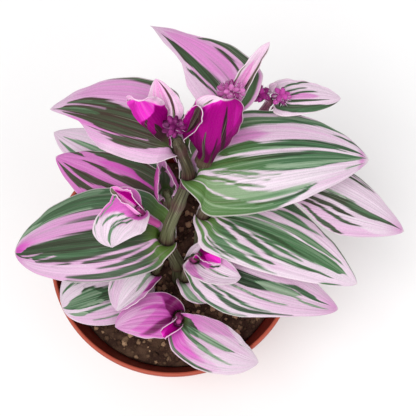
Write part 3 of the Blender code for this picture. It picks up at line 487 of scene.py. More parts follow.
# Painted shade: the glow at the foot and the first tint stand in for the shadow where the foot dips
# down; the first band is the base's own dark, widened to carry that shadow as well.
LOOKS["leaf_front_right"] = dict(blush=0.02, warm=0.4, bands=[
    (0.97, (-0.1, -0.45, 0.35), (0.06, -0.4, 0.32), (0.12, -0.34, 0.28), (0.18, -0.16, 0.22),
     (0.22, -0.06, 0.18)),
    (0.5, (0.18, -0.06, 0.2), (0.25, -0.05, 0.18), (0.32, -0.05, 0.14)),
    (0.15, (0.28, -0.06, 0.15), (0.46, -0.06, 0.14), (0.58, -0.04, 0.13), (0.66, -0.01, 0.06)),
    (0.35, (0.05, 0.2, 0.34), (0.18, 0.2, 0.32), (0.27, 0.24, 0.36), (0.37, 0.3, 0.4)),
    (0.08, (0.33, 0.28, 0.4), (0.46, 0.36, 0.45), (0.57, 0.43, 0.51), (0.7, 0.52, 0.58)),
    (0.7, (0.1, 0.78, 0.86), (0.25, 0.8, 0.87), (0.4, 0.88, 0.94), (0.55, 0.93, 0.97)),
    (0.15, (0.72, -0.56, -0.51), (0.8, -0.72, -0.66), (0.89, -0.94, -0.88))],
    tints=[(0.4, (0.05, 0.35, 1), (0.2, 0.45, 0.8), (0.3, 0.55, 0.8), (0.44, 0.68, 0.74)),
           (0.14, (0.1, -1, 1), (0.3, -1, 1), (0.45, -1, 0.4)),
           (0.2, (0.28, 0.5, 1), (0.5, 0.6, 1)), (0.08, (0.5, -1, 1), (0.9, -1, 1)),
           (0.3, (0.1, -1, 0), (0.3, -1, -0.15), (0.42, -1, -0.3))],
    glows=[(0.5, 0, 1.4, 0.2, 0.7)],
    trim=[(0, 0.62, 1), (0.13, 0.6, 0.92), (0.21, 0.66, 0.92), (0.35, 0.8, 0.95),
          (0.42, 0.88, 0.98), (0.54, 0.96, 0.98), (0.64, 0.97, 0.98), (0.79, 0.97, 1.05),
          (0.9, 1, 1.05), (1, 1, 1)])
# Painted shadow: the second tint, deep magenta along the left half, is a shadow streak painted on.
LOOKS["leaf_front_left"] = dict(blush=0.6, warm=1, bands=[],
    tints=[(0.3, (-0.1, -1, 1), (0.16, -1, 1), (0.26, -1, 0.5), (0.4, -0.9, 0.1),
            (0.55, -0.8, -0.2), (0.72, -0.7, -0.5)),
           (1.05, (0.08, -0.2, 0), (0.2, -0.4, -0.1), (0.3, -0.56, -0.22), (0.4, -0.7, -0.4),
            (0.52, -0.8, -0.6), (0.64, -0.86, -0.8)),
           (0.6, (0.1, 0.28, 0.4), (0.35, 0.3, 0.46), (0.55, 0.32, 0.36)),
           (0.9, (-0.1, -0.2, 1), (0.12, 0.1, 1), (0.2, 0.34, 1), (0.3, 0.8, 1)),
           (0.14, (0.15, 0.44, 1), (0.5, 0.44, 1), (0.9, 0.5, 1)),
           (-0.16, (0.72, 0.1, 0.7), (0.9, -0.2, 0.8), (1, -0.6, 0.8))],
    glows=[(0, 0, 1.4, 0.16, 0.8)],
    trim=[(0, 1, 1), (0.24, 0.9, 1), (0.42, 0.88, 1), (0.6, 1, 1), (1, 1, 1)])
LOOKS["leaf_left_low"] = dict(blush=0.12, warm=0.2, bands=[
    (0.9, (-0.1, -0.26, 0.1), (0.5, -0.26, 0.12), (0.6, -0.24, 0.22), (0.7, -0.2, 0.27),
     (0.76, -0.18, 0.18)),
    (0.45, (0.64, -0.17, 0.2), (0.8, -0.26, 0.18), (0.9, -0.32, 0.12), (0.96, -0.25, -0.02)),
    (0.1, (0.56, -0.26, -0.14), (0.7, -0.3, -0.16), (0.84, -0.36, -0.24)),
    (0.7, (-0.1, -0.42, -0.3), (0.5, -0.45, -0.34), (0.65, -0.5, -0.36), (0.8, -0.58, -0.42),
     (0.9, -0.62, -0.5)),
    (0.2, (0.8, -0.62, -0.42), (0.9, -0.7, -0.52)),
    (0.3, (0.3, -0.75, -0.7), (0.5, -0.78, -0.73), (0.72, -0.82, -0.78)),
    (0.4, (0.5, 0.3, 0.34), (0.75, 0.44, 0.5), (0.85, 0.48, 0.58), (0.94, 0.6, 0.68)),
    (0.6, (-0.1, 0.5, 0.8), (0.4, 0.5, 0.75), (0.6, 0.5, 0.6))],
    tints=[(0.22, (0.4, -1, -0.46), (0.7, -1, -0.52), (0.85, -1, -0.62)),
           (-0.1, (0.5, 0.22, 1), (0.9, 0.2, 1))])
# Painted shade: the first two tints are the purple of the lower half where it folds away into shadow.
LOOKS["leaf_left_folded"] = dict(blush=0, bands=[
    (0.02, (-0.1, -0.05, 0.16), (0.2, -0.08, 0.12), (0.4, -0.2, -0.06), (0.52, -0.26, -0.2)),
    (0.3, (0.66, 0.74, 0.78), (0.76, 0.82, 0.9), (0.84, 0.95, 1))],
    tints=[(1.2, (-0.1, -0.7, -0.24), (0.1, -0.7, -0.28), (0.3, -0.7, -0.38), (0.42, -0.72, -0.5)),
           (0.62, (0.3, -1, -0.42), (0.5, -1, -0.55), (0.7, -1, -0.7), (0.95, -1, -0.74)),
           (0.24, (0.55, 0.4, 1), (0.8, 0.3, 1), (1, 0.1, 1))],
    trim=[(0, 0.6, 1), (0.25, 0.62, 1), (0.4, 0.7, 1), (0.55, 0.85, 1), (0.7, 1, 1), (1, 1, 1)])
LOOKS["leaf_front_small"] = dict(blush=0.2, bands=[
    (0.4, (0.2, -0.2, -0.05), (0.6, -0.35, -0.2), (0.95, -0.35, -0.3)),
    (0.15, (0.1, 0.4, 0.8), (0.6, 0.4, 0.9), (0.9, 0.5, 0.8))])
LOOKS["leaf_front_bud"] = dict(blush=1.2, bands=[],
                       tints=[(-0.9, (0.1, -1, -0.7), (1, -1, -0.7)),
                              (-0.3, (0.3, 0.2, 1), (1, 0.2, 1))],
                       glows=[(0.3, 1, 1.5, 0.25, -0.5), (0, 0, 1.5, 0.3, 0.6)])
LOOKS["leaf_back_small"] = dict(blush=0.14, warm=0.4, bands=[
    (0.85, (-0.1, 0.3, 0.9), (0.3, 0.42, 0.76), (0.4, 0.42, 0.82), (0.5, 0.47, 0.88), (0.6, 0.5, 0.94),
     (0.7, 0.56, 1), (0.8, 0.66, 1), (0.94, 0.86, 1)),
    (0.55, (0.45, 0.7, 0.86), (0.6, 0.75, 0.94), (0.8, 0.8, 1)),
    (0.85, (0.1, 0.2, 0.35), (0.35, 0.16, 0.32), (0.5, 0.15, 0.3), (0.6, 0.17, 0.3), (0.82, 0.22, 0.27)),
    (0.8, (0.1, -0.08, 0.02), (0.25, -0.12, -0.02), (0.4, -0.25, -0.15), (0.5, -0.31, -0.22),
     (0.6, -0.37, -0.26), (0.65, -0.33, -0.29)),
    (0.8, (0.1, -0.25, -0.15), (0.25, -0.35, -0.25), (0.4, -0.46, -0.35), (0.5, -0.53, -0.45),
     (0.53, -0.53, -0.49)),
    (0.75, (0.1, -0.5, -0.4), (0.25, -0.6, -0.5), (0.4, -0.75, -0.62), (0.5, -0.88, -0.76),
     (0.58, -0.93, -0.86))],
    tints=[(0.5, (0.1, -0.2, 0.15), (0.5, -0.2, 0.12), (0.6, -0.15, 0.1))])
LOOKS["leaf_cup_right"] = dict(blush=0.12, bands=[
    (0.9, (0.03, 0.27, 0.35), (0.2, 0.26, 0.33), (0.35, 0.26, 0.29)),
    (0.9, (0.37, -0.02, 0.05), (0.45, -0.12, -0.02), (0.52, -0.24, -0.14), (0.56, -0.32, -0.26)),
    (0.1, (0.4, 0.08, 0.16), (0.55, 0.08, 0.18), (0.74, 0.15, 0.22)),
    (0.4, (0.4, -1, -0.85), (0.6, -0.95, -0.82), (0.8, -1, -0.95))],
    tints=[(1, (-0.1, -0.2, 0.22), (0.2, -0.2, 0.22), (0.36, -0.1, 0.16)),
           (0.55, (0, 0.46, 0.9), (0.3, 0.55, 0.95), (0.48, 0.8, 1)),
           (0.35, (0.5, -0.75, -0.3), (0.7, -0.8, -0.4), (0.84, -0.8, -0.5)),
           (-0.08, (0.6, -0.2, 1), (1, -0.6, 1))])
LOOKS["leaf_cup_right_inner"] = dict(blush=1.1, bands=[],
    tints=[(-0.7, (0, 0.7, 1), (0.6, 0.6, 1), (1, 0.3, 1)), (-0.6, (0.86, -1, 1), (1, -1, 1))],
    glows=[(0, 0, 1.5, 0.28, 0.8)])
LOOKS["leaf_cup_left"] = dict(blush=0.08, bands=[
    (0.45, (0.3, 0.1, 0.14), (0.38, 0.14, 0.22), (0.46, 0.22, 0.31), (0.55, 0.33, 0.4),
     (0.66, 0.46, 0.49)),
    (0.65, (0.18, -0.18, -0.13), (0.3, -0.1, -0.03), (0.4, -0.02, 0.05), (0.5, 0.06, 0.12),
     (0.62, 0.14, 0.17)),
    (0.7, (0.22, -0.28, -0.22), (0.35, -0.22, -0.12), (0.45, -0.08, 0), (0.55, 0, 0.08),
     (0.66, 0.05, 0.15)),
    (0.35, (0.62, 0.04, 0.14), (0.75, 0.08, 0.22), (0.85, 0.1, 0.26), (0.94, 0.12, 0.2)),
    (0.4, (0.3, 0.7, 0.8), (0.4, 0.5, 0.54), (0.55, 0.55, 0.6), (0.7, 0.75, 0.8), (0.85, 0.9, 0.93))],
    tints=[(0.85, (0, -1, 1), (0.12, -0.9, 1), (0.2, -0.22, 1), (0.36, 0.25, 1)),
           (0.3, (0.15, -0.34, -0.2), (0.4, -0.2, 0), (0.5, -0.1, 0))],
    glows=[(0.55, 0.45, 0.3, 0.14, 0.15)],
    trim=[(0, 1, 1), (0.2, 0.95, 1), (0.3, 0.85, 0.9), (0.4, 0.8, 0.62), (0.55, 0.8, 0.66),
          (0.7, 0.78, 0.85), (0.8, 0.75, 1), (1, 0.7, 1)])
LOOKS["leaf_cup_left_inner"] = dict(blush=0.3, bands=[
    (0.2, (0.85, -1, 0.1), (0.95, -1, 0.2))],
    tints=[(0.8, (-0.1, 0.2, 1), (0.3, 0.24, 0.9), (0.6, 0.24, 0.7), (0.8, 0.2, 0.4)),
           (-0.28, (0, -0.14, 0.06), (1, -0.14, 0.06)),
           (-0.1, (0.6, -1, 0), (1, -1, 0))])
LOOKS["leaf_rolled"] = dict(blush=0.62, warm=0.9, bands=[
    (0.7, (-0.1, -0.25, 0.3), (0.3, -0.22, 0.28), (0.5, -0.15, 0.2), (0.55, -0.1, 0.1)),
    (0.9, (0.58, -0.1, 0.1), (0.64, -0.15, 0.2), (0.72, -0.1, 0.1)),
    (0.85, (-0.1, 0.5, 0.72), (0.4, 0.5, 0.74), (0.7, 0.56, 0.74), (0.85, 0.6, 0.66)),
    (0.85, (-0.1, -0.72, -0.5), (0.4, -0.72, -0.52), (0.6, -0.7, -0.56))],
    tints=[(-0.35, (0, -1, -0.8), (0.9, -1, -0.8)), (-0.35, (0, 0.8, 1), (0.9, 0.8, 1))])
LOOKS["bract_upright"] = dict(blush=1.62, bands=[
    (0.95, (-0.1, -1, -0.5), (0.1, -0.8, -0.52), (0.2, -0.65, -0.46), (0.3, -0.55, -0.37),
     (0.4, -0.47, -0.29), (0.5, -0.41, -0.24), (0.6, -0.36, -0.21), (0.75, -0.3, -0.19),
     (0.9, -0.25, -0.2)),
    (0.9, (-0.1, 0.14, 0.38), (0.2, 0.2, 0.33), (0.35, 0.22, 0.3), (0.48, 0.24, 0.27)),
    (0.9, (-0.1, -0.24, -0.08), (0.15, -0.2, -0.1), (0.3, -0.18, -0.13), (0.42, -0.16, -0.14)),
    (0.1, (0.84, 0.62, 0.68), (0.93, 0.54, 0.6))],
    tints=[(-1.1, (0.82, 0.62, 1), (0.9, 0.5, 1), (0.97, 0.3, 1)),
           (-0.4, (0.8, -1, 1), (0.92, -1, 1)), (-0.35, (0.5, 0.45, 0.9), (0.85, 0.4, 0.9)),
           (-0.3, (0.5, -0.9, -0.6), (0.8, -0.9, -0.5))],
    glows=[(0, 0, 1.5, 0.3, 0.5), (0.5, 1, 0.4, 0.1, -1.0)])
LOOKS["bract_narrow"] = dict(blush=0.12, bands=[
    (0.35, (-0.1, 0.25, 0.9), (0.3, 0.28, 1), (0.6, 0.35, 1), (0.85, 0.5, 1)),
    (-1, (0.3, 0.05, 0.14), (0.6, 0.3, 0.36), (0.85, 0.45, 0.52)),
    (0.8, (-0.1, 0.25, 0.4), (0.3, 0.25, 0.45), (0.4, 0.3, 0.4)),
    (0.4, (0.3, -1, -0.8), (0.6, -1, -0.85))],
    tints=[(0.3, (0, -1, 0.2), (0.3, -1, 0.2)), (-0.2, (0.55, -1, 1), (0.9, -1, 1))],
    trim=[(0, 1, 1), (0.4, 1, 0.9), (0.6, 1, 0.75), (1, 1, 0.7)])
LOOKS["bract_curl"] = dict(blush=0.03, bands=[])
LOOKS["bract_left"] = dict(blush=0.5, warm=0.5, bands=[
    (0.97, (0.12, -0.7, 1), (0.17, -0.6, 1), (0.21, -0.6, 0.6), (0.24, -0.4, 0.1)),
    (0.6, (0.34, 0.4, 0.55), (0.42, 0.2, 0.36), (0.5, 0, 0.12)),
    (0.3, (0.76, 0.93, 0.97), (0.9, 0.62, 0.67))],
    tints=[(0.95, (0.18, -1, 1), (0.34, -1, 0.86), (0.46, -1, 0.4), (0.55, -1, -0.1),
            (0.6, -0.8, -0.4)),
           (0.25, (0.36, 0.5, 1), (0.5, 0.3, 1), (0.7, 0.3, 0.8), (0.84, 0.2, 0.5)),
           (-0.38, (0.55, -1, -0.75), (0.75, -1, -0.66), (0.95, -1, -0.5)),
           (-0.36, (0.72, 0.95, 1), (0.84, 0.74, 1), (1, 0.45, 1))],
    glows=[(0, 0.05, 1.8, 0.16, 1.3)])
LOOKS["bract_pointed"] = dict(blush=0.07, bands=[
    (0.3, (0.1, 0.2, 0.45), (0.4, 0.35, 0.5), (0.6, 0.46, 0.62), (0.8, 0.5, 0.66), (0.94, 0.45, 0.55))],
    glows=[(0, 0.8, 0.4, 0.2, 0.15), (0, 0.1, 1, 0.15, 0.4)])
LOOKS["bract_right"] = dict(blush=1.5, warm=0.5, bands=[
    (0.6, (0.25, -0.1, 0.3), (0.35, -0.2, 0.3), (0.5, -0.3, 0.34), (0.7, -0.36, 0.44),
     (0.85, -0.5, 0.5), (1, -0.5, 0.5)),
    (0.95, (0.3, 0.1, 0.3), (0.5, 0.1, 0.34), (0.64, 0.1, 0.3))],
    tints=[(-0.45, (0.4, -0.9, -0.5), (0.6, -0.86, -0.5), (0.8, -0.8, -0.54)),
           (-0.9, (0.5, -1, -0.9), (0.9, -1, -0.8))],
    glows=[(0, 0, 1.5, 0.2, 0.4)],
    trim=[(0, 1, 0.9), (0.1, 1, 0.76), (0.3, 1, 0.52), (0.5, 1, 0.44), (0.65, 1, 0.54),
          (0.8, 1, 0.8), (1, 1, 1)])

# name: middle of the cluster, its half sizes, dark and light colour, and its share of the hairs
BUDS = {
    "buds_left": ((3.5, 12.5, 222.5), (4, 4, 5), (44, 2, 34), (122, 18, 98), 0.12),
    "buds_middle": ((25, 25, 227), (5.5, 4, 4.5), (124, 34, 100), (230, 136, 206), 1),
    "buds_right_inner": ((38, 35, 204), (3.5, 3.5, 4.5), (64, 4, 48), (164, 34, 134), 0.5),
    "buds_right_outer": ((46, 34.5, 203), (3.5, 3.5, 4.5), (80, 6, 62), (206, 80, 176), 0.8),
}

# Colours of the leaf faces as they look, 0 to 255. Pale, pink, vivid and deep are the ground as it
# blushes; sage, green and dark are the stripes as they deepen, and olive is a warm dark one.
UPPER = dict(Pale=(220, 206, 216), Pink=(206, 150, 194), Vivid=(204, 86, 182), Deep=(110, 14, 84),
             Sage=(146, 168, 142), Green=(70, 113, 77), Dark=(40, 62, 42), Olive=(66, 48, 42),
             Rim=(226, 212, 216), Lime=(96, 130, 40))
UNDER = dict(Pale=(196, 110, 174), Pink=(182, 64, 152), Vivid=(166, 26, 132), Deep=(100, 6, 80),
             Sage=(150, 90, 130), Green=(110, 40, 90), Dark=(64, 14, 56), Olive=(64, 14, 56),
             Rim=(220, 176, 208), Lime=(96, 60, 70))
BRACT = dict(Pale=(230, 204, 222), Pink=(236, 50, 200), Vivid=(170, 2, 132), Deep=(84, 0, 60),
             Sage=(146, 160, 124), Green=(84, 48, 60), Dark=(50, 6, 36), Olive=(44, 34, 24),
             Rim=(240, 220, 232), Lime=(80, 90, 44))
# What each point of a leaf carries for the stripes group to read.
LEAF_FIELDS = ("stripe", "depth", "blush", "margin", "warm", "foot")

# Socket type of a node group's input, by the kind of its default.
SOCKETS = {float: "NodeSocketFloat", int: "NodeSocketInt", tuple: "NodeSocketColor"}


def srgb(red, green, blue):
    """Colour given as it looks, 0 to 255, as the shader wants it."""
    out = []
    for c in (red, green, blue):
        c /= 255.0
        out.append(c / 12.92 if c <= 0.04045 else ((c + 0.055) / 1.055) ** 2.4)
    return tuple(out)


def solid(rgb):
    """The same, for a colour socket."""
    return (*srgb(*rgb), 1.0)


def unit(v):
    v = np.asarray(v, float)
    return v / (np.linalg.norm(v) + 1e-12)


def ease(x):
    x = min(max(float(x), 0.0), 1.0)
    return x * x * (3 - 2 * x)


def pair(value, side):
    """A value given once counts for both halves; a pair is (left, right)."""
    if isinstance(value, tuple):
        return value[0] if side < 0 else value[1]
    return value


# Node trees

def feed(tree, node, inputs):
    """Gives each input its value, or links it to the socket that feeds it."""
    for key, value in inputs.items():
        if isinstance(value, bpy.types.NodeSocket):
            tree.links.new(value, node.inputs[key])
        else:
            node.inputs[key].default_value = value


def add(tree, kind, inputs=None, **settings):
    """New node with its settings and inputs."""
    node = tree.nodes.new(kind)
    for key, value in settings.items():
        setattr(node, key, value)
    feed(tree, node, inputs or {})
    return node


def calc(tree, operation, a, b=0.0, c=0.0, clamp=False):
    node = add(tree, "ShaderNodeMath", {0: a, 1: b, 2: c}, operation=operation, use_clamp=clamp)
    return node.outputs[0]


def blend_colour(tree, factor, a, b):
    node = add(tree, "ShaderNodeMix", {0: factor, 6: a, 7: b}, data_type="RGBA")
    return node.outputs[2]


def paint(tree, colour, mask, amount, rgb):
    """Lays one more colour, given as it looks, over the colour where the mask is."""
    return blend_colour(tree, calc(tree, "MULTIPLY", mask, amount), colour, solid(rgb))


def ramp(tree, value, low, middle, high):
    """Colour that runs from low over middle to high while the value goes from 0 to 1."""
    first = blend_colour(tree, calc(tree, "MULTIPLY", value, 2.0, clamp=True), low, middle)
    return blend_colour(tree, calc(tree, "MULTIPLY_ADD", value, 2.0, -1.0, clamp=True), first, high)


def smooth_step(tree, value, low, high):
    node = add(tree, "ShaderNodeMapRange", {0: value, 1: low, 2: high, 3: 0.0, 4: 1.0},
               interpolation_type="SMOOTHSTEP")
    return node.outputs[0]


def noise(tree, spot, scale, detail):
    node = add(tree, "ShaderNodeTexNoise", {"Vector": spot, "Scale": scale, "Detail": detail})
    return node.outputs[0]


def attribute(tree, name):
    return add(tree, "ShaderNodeAttribute", attribute_name=name).outputs["Fac"]


def object_spot(tree):
    return add(tree, "ShaderNodeTexCoord").outputs["Object"]


def surface_spot(tree):
    return add(tree, "ShaderNodeUVMap", uv_map="UVMap").outputs[0]


def new_group(kind, name, inputs, outputs, gives="NodeSocketFloat"):
    """Node group of this kind; an input is its default, or its socket type where it has none."""
    tree = bpy.data.node_groups.new(name, kind)
    for label, default in inputs.items():
        bare = isinstance(default, str)
        socket = tree.interface.new_socket(label, in_out="INPUT",
                                           socket_type=default if bare else SOCKETS[type(default)])
        if not bare:
            socket.default_value = default
    for label in outputs:
        tree.interface.new_socket(label, in_out="OUTPUT", socket_type=gives)
    return tree, add(tree, "NodeGroupInput").outputs, add(tree, "NodeGroupOutput")


def use_group(tree, name, build, inputs):
    """The outputs of the named group, which is built on first use."""
    group = bpy.data.node_groups.get(name) or build(name)
    return add(tree, "ShaderNodeGroup", inputs, node_tree=group).outputs


def vein_group(name):
    """Fine parallel veins that run along a surface's second coordinate."""
    tree, get, end = new_group("ShaderNodeTree", name, {
        "Surface": "NodeSocketVector", "Lines": 40.0, "Stretch": 3.0, "Seed": 0.0},
        ("Streak", "Fine", "Height"))
    split = add(tree, "ShaderNodeSeparateXYZ", {0: get["Surface"]}).outputs
    spot = add(tree, "ShaderNodeCombineXYZ", {
        0: calc(tree, "MULTIPLY", split[0], get["Lines"]),
        1: calc(tree, "MULTIPLY", split[1], get["Stretch"]), 2: get["Seed"]}).outputs[0]
    broad = noise(tree, spot, scale=0.5, detail=3.0)
    fine = noise(tree, spot, scale=1.1, detail=2.0)
    ribs = noise(tree, spot, scale=1.0, detail=0.0)
    feed(tree, end, {"Streak": calc(tree, "SUBTRACT", broad, 0.5),
                     "Fine": calc(tree, "SUBTRACT", fine, 0.5),
                     "Height": calc(tree, "MULTIPLY_ADD", fine, 0.5, ribs)})
    return tree


def stripe_group(name):
    """Striped leaf colour from its stripe, depth, blush, margin, warm and foot fields."""
    tree, get, end = new_group("ShaderNodeTree", name, {
        "Stripe": 0.0, "Depth": 0.5, "Blush": 0.3, "Margin": 0.0, "Warm": 0.1, "Foot": 0.0,
        "Streak": 0.0, "Fine": 0.0, "Grain": 0.0, "Ragged": 0.16,
        **{label: (1, 1, 1, 1) for label in UPPER}}, ("Color",), gives="NodeSocketColor")

    def veined(field, broad, fine):
        """The field, uneven along the veins."""
        field = calc(tree, "MULTIPLY_ADD", get["Streak"], broad, field)
        return calc(tree, "MULTIPLY_ADD", get["Fine"], fine, field)

    mask = smooth_step(tree, veined(get["Stripe"], get["Ragged"], 0.06), -0.026, 0.026)
    blush = veined(get["Blush"], 0.45, 0.3)
    ground = ramp(tree, blush, get["Pale"], get["Pink"], get["Vivid"])
    ground = blend_colour(tree, calc(tree, "SUBTRACT", blush, 1.0, clamp=True), ground, get["Deep"])
    dark = blend_colour(tree, get["Warm"], get["Dark"], get["Olive"])
    green = blend_colour(tree, calc(tree, "MULTIPLY", get["Warm"], 0.5), get["Green"], get["Olive"])
    stripe = ramp(tree, veined(get["Depth"], 1.1, 1.5), get["Sage"], green, dark)
    stripe = blend_colour(tree, calc(tree, "MULTIPLY", get["Foot"], 0.8), stripe, get["Lime"])
    line = smooth_step(tree, get["Fine"], 0.09, 0.2)
    stripe = blend_colour(tree, calc(tree, "MULTIPLY", line, 0.3), stripe, get["Sage"])
    whole = blend_colour(tree, mask, ground, stripe)
    whole = blend_colour(tree, calc(tree, "MULTIPLY", get["Margin"], 0.75), whole, get["Rim"])
    shade = calc(tree, "MULTIPLY_ADD", get["Fine"], 0.7, 1.0)
    shade = calc(tree, "MULTIPLY_ADD", get["Grain"], 0.35, shade)
    final = add(tree, "ShaderNodeVectorMath", {0: whole, "Scale": shade}, operation="SCALE")
    feed(tree, end, {"Color": final.outputs[0]})
    return tree


def speckle_group(name):
    """Soft blotches and small specks, for dust, wear and grit."""
    tree, get, end = new_group("ShaderNodeTree", name, {
        "Place": "NodeSocketVector", "Blotch size": 40.0, "Speck size": 900.0, "Amount": 0.5},
        ("Blotch", "Speck", "Height"))
    blotch = noise(tree, get["Place"], get["Blotch size"], detail=5.0)
    speck = noise(tree, get["Place"], get["Speck size"], detail=2.0)
    soft = smooth_step(tree, blotch, 0.42, 0.72)
    dots = smooth_step(tree, speck, 0.6, 0.72)
    feed(tree, end, {"Blotch": calc(tree, "MULTIPLY", soft, get["Amount"]),
                     "Speck": calc(tree, "MULTIPLY", dots, get["Amount"]), "Height": speck})
    return tree


def specks(tree, spot, blotch, speck, amount):
    return use_group(tree, "Specks and blotches", speckle_group, {
        "Place": spot, "Blotch size": blotch, "Speck size": speck, "Amount": amount})


# Materials

def new_material(name, roughness, gloss=0.5):
    """Empty Principled material; constants go straight onto its sockets."""
    mat = bpy.data.materials.new(name)
    mat.use_nodes = True
    tree = mat.node_tree
    shader = tree.nodes["Principled BSDF"]
    feed(tree, shader, {"Roughness": roughness, "Specular IOR Level": gloss})
    return mat, tree, shader


def dress(tree, shader, colour, height, strength, distance):
    """Colour and bumps of a finished material."""
    bump = add(tree, "ShaderNodeBump", {"Height": height, "Strength": strength, "Distance": distance})
    feed(tree, shader, {"Base Color": colour, "Normal": bump.outputs[0]})


def leaf_material(name, colours, roughness, ragged=0.14, gloss=0.22):
    """Striped leaf face in the given colours."""
    if name in bpy.data.materials:
        return bpy.data.materials[name]
    mat, tree, shader = new_material(name, roughness, gloss)
    veins = use_group(tree, "Parallel veins", vein_group, {
        "Surface": surface_spot(tree), "Lines": 54.0, "Stretch": 1.8})
    grain = noise(tree, object_spot(tree), scale=2200.0, detail=2.0)
    stripes = use_group(tree, "Leaf stripes", stripe_group, {
        **{label.capitalize(): attribute(tree, label) for label in LEAF_FIELDS},
        **{label: solid(rgb) for label, rgb in colours.items()},
        "Streak": veins["Streak"], "Fine": veins["Fine"],
        "Grain": calc(tree, "SUBTRACT", grain, 0.5), "Ragged": ragged})
    feed(tree, shader, {"Roughness": calc(tree, "MULTIPLY_ADD", veins["Fine"], 0.3, roughness)})
    height = calc(tree, "MULTIPLY_ADD", grain, 0.35, veins["Height"])
    dress(tree, shader, stripes["Color"], height, strength=0.45, distance=0.0004)
    return mat


def stem_material():
    """Streaked green that turns brown on the young upper stems, with a dark ring at each joint."""
    mat, tree, shader = new_material("stem_skin", 0.45, gloss=0.25)
    veins = use_group(tree, "Parallel veins", vein_group, {
        "Surface": surface_spot(tree), "Lines": 30.0, "Stretch": 4.0, "Seed": 4.0})
    level = add(tree, "ShaderNodeSeparateXYZ", {0: object_spot(tree)}).outputs[2]
    young = smooth_step(tree, level, 0.168, 0.19)
    colour = blend_colour(tree, young, solid((96, 98, 68)), solid((76, 66, 48)))
    colour = paint(tree, colour, smooth_step(tree, veins["Fine"], 0.06, 0.2), 0.8, (172, 176, 146))
    colour = paint(tree, colour, smooth_step(tree, veins["Streak"], 0.0, 0.1), 0.9, (42, 36, 20))
    colour = paint(tree, colour, attribute(tree, "ring"), 0.6, (84, 44, 52))
    colour = paint(tree, colour, attribute(tree, "flush"), 0.9, (196, 76, 156))
    dress(tree, shader, colour, veins["Height"], strength=0.3, distance=0.0003)
    return mat


def pot_material(colour):
    """Satin plastic, dusty in patches, darker inside with painted shade and rubbed pale on the lip."""
    mat, tree, shader = new_material("pot_plastic", 0.46, gloss=0.2)
    spot = object_spot(tree)
    dust = specks(tree, spot, blotch=55.0, speck=1400.0, amount=0.6)
    colour = paint(tree, (*colour, 1.0), dust["Blotch"], 0.3, (186, 104, 84))
    # Painted shade: the inner wall is darkened to the deep red of its shadow.
    colour = paint(tree, colour, attribute(tree, "inside"), 0.75, (96, 18, 12))
    colour = paint(tree, colour, attribute(tree, "wear"), 0.35, (196, 108, 84))
    colour = paint(tree, colour, dust["Speck"], 0.35, (92, 52, 40))
    feed(tree, shader, {"Roughness": calc(tree, "MULTIPLY_ADD", dust["Blotch"], 0.25, 0.42)})
    level = add(tree, "ShaderNodeSeparateXYZ", {0: spot}).outputs[2]
    level = add(tree, "ShaderNodeCombineXYZ", {2: calc(tree, "MULTIPLY", level, 900.0)}).outputs[0]
    height = calc(tree, "MULTIPLY_ADD", noise(tree, level, scale=1.0, detail=1.0), 0.4, dust["Height"])
    dress(tree, shader, colour, height, strength=0.25, distance=0.00025)
    return mat


def soil_material(name, dark, light, loose):
    """Gritty peat; each loose crumb has a shade of its own, mostly dark."""
    mat, tree, shader = new_material(name, 0.95, gloss=0.2)
    grit = specks(tree, object_spot(tree), blotch=160.0, speck=1500.0, amount=1.0)
    factor = calc(tree, "MULTIPLY", grit["Blotch"], 0.5)
    if loose:
        few = calc(tree, "POWER", attribute(tree, "shade"), 2.4)
        factor = calc(tree, "MULTIPLY_ADD", factor, 0.3, few, clamp=True)
    colour = blend_colour(tree, factor, solid(dark), solid(light))
    colour = paint(tree, colour, grit["Speck"], 0.3, (150, 116, 84))
    dress(tree, shader, colour, grit["Height"], strength=0.8, distance=0.0006)
    return mat


def bud_material(name, dark, light):
    """Purple bud, each of its own shade, with pale blotches."""
    mat, tree, shader = new_material(name, 0.5, gloss=0.15)
    grain = specks(tree, object_spot(tree), blotch=420.0, speck=2600.0, amount=1.0)
    colour = blend_colour(tree, attribute(tree, "shade"), solid(dark), solid(light))
    colour = paint(tree, colour, grain["Blotch"], 0.25, (226, 110, 200))
    dress(tree, shader, colour, grain["Height"], strength=0.4, distance=0.0003)
    return mat


def hair_material():
    mat, tree, shader = new_material("bud_hair", 0.6)
    colour = blend_colour(tree, attribute(tree, "shade"), solid((214, 150, 200)),
                          solid((250, 244, 250)))
    feed(tree, shader, {"Base Color": colour})
    return mat


# Meshes

def new_object(name, data):
    obj = bpy.data.objects.new(name, data)
    bpy.context.scene.collection.objects.link(obj)
    return obj


def mesh_object(name, verts, faces, materials, slots=None, uvs=None, fields=None):
    """Smooth object at the origin; verts in millimetres, uvs and fields one value per vertex."""
    mesh = bpy.data.meshes.new(name)
    mesh.from_pydata([tuple(v) for v in np.asarray(verts, float) * MM], [],
                     [tuple(int(i) for i in f) for f in faces])
    for mat in materials:
        mesh.materials.append(mat)
    if slots is not None:
        mesh.polygons.foreach_set("material_index", np.asarray(slots, np.int32))
    if uvs is not None:
        layer = mesh.uv_layers.new(name="UVMap")
        loops = np.empty(len(mesh.loops), np.int32)
        mesh.loops.foreach_get("vertex_index", loops)
        layer.data.foreach_set("uv", np.asarray(uvs, np.float32)[loops].ravel())
    for label, values in (fields or {}).items():
        field = mesh.attributes.new(label, "FLOAT", "POINT")
        field.data.foreach_set("value", np.asarray(values, np.float32).ravel())
    mesh.shade_smooth()
    mesh.update()
    return new_object(name, mesh)


def finished_mesh(obj):
    """Plain mesh of the object with its modifiers run."""
    graph = bpy.context.evaluated_depsgraph_get()
    graph.update()
    return bpy.data.meshes.new_from_object(obj.evaluated_get(graph))


def place(obj, node):
    """The finished piece stands for its node in the model and rides on its body."""
    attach(obj, "root")
    if node:
        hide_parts(node)


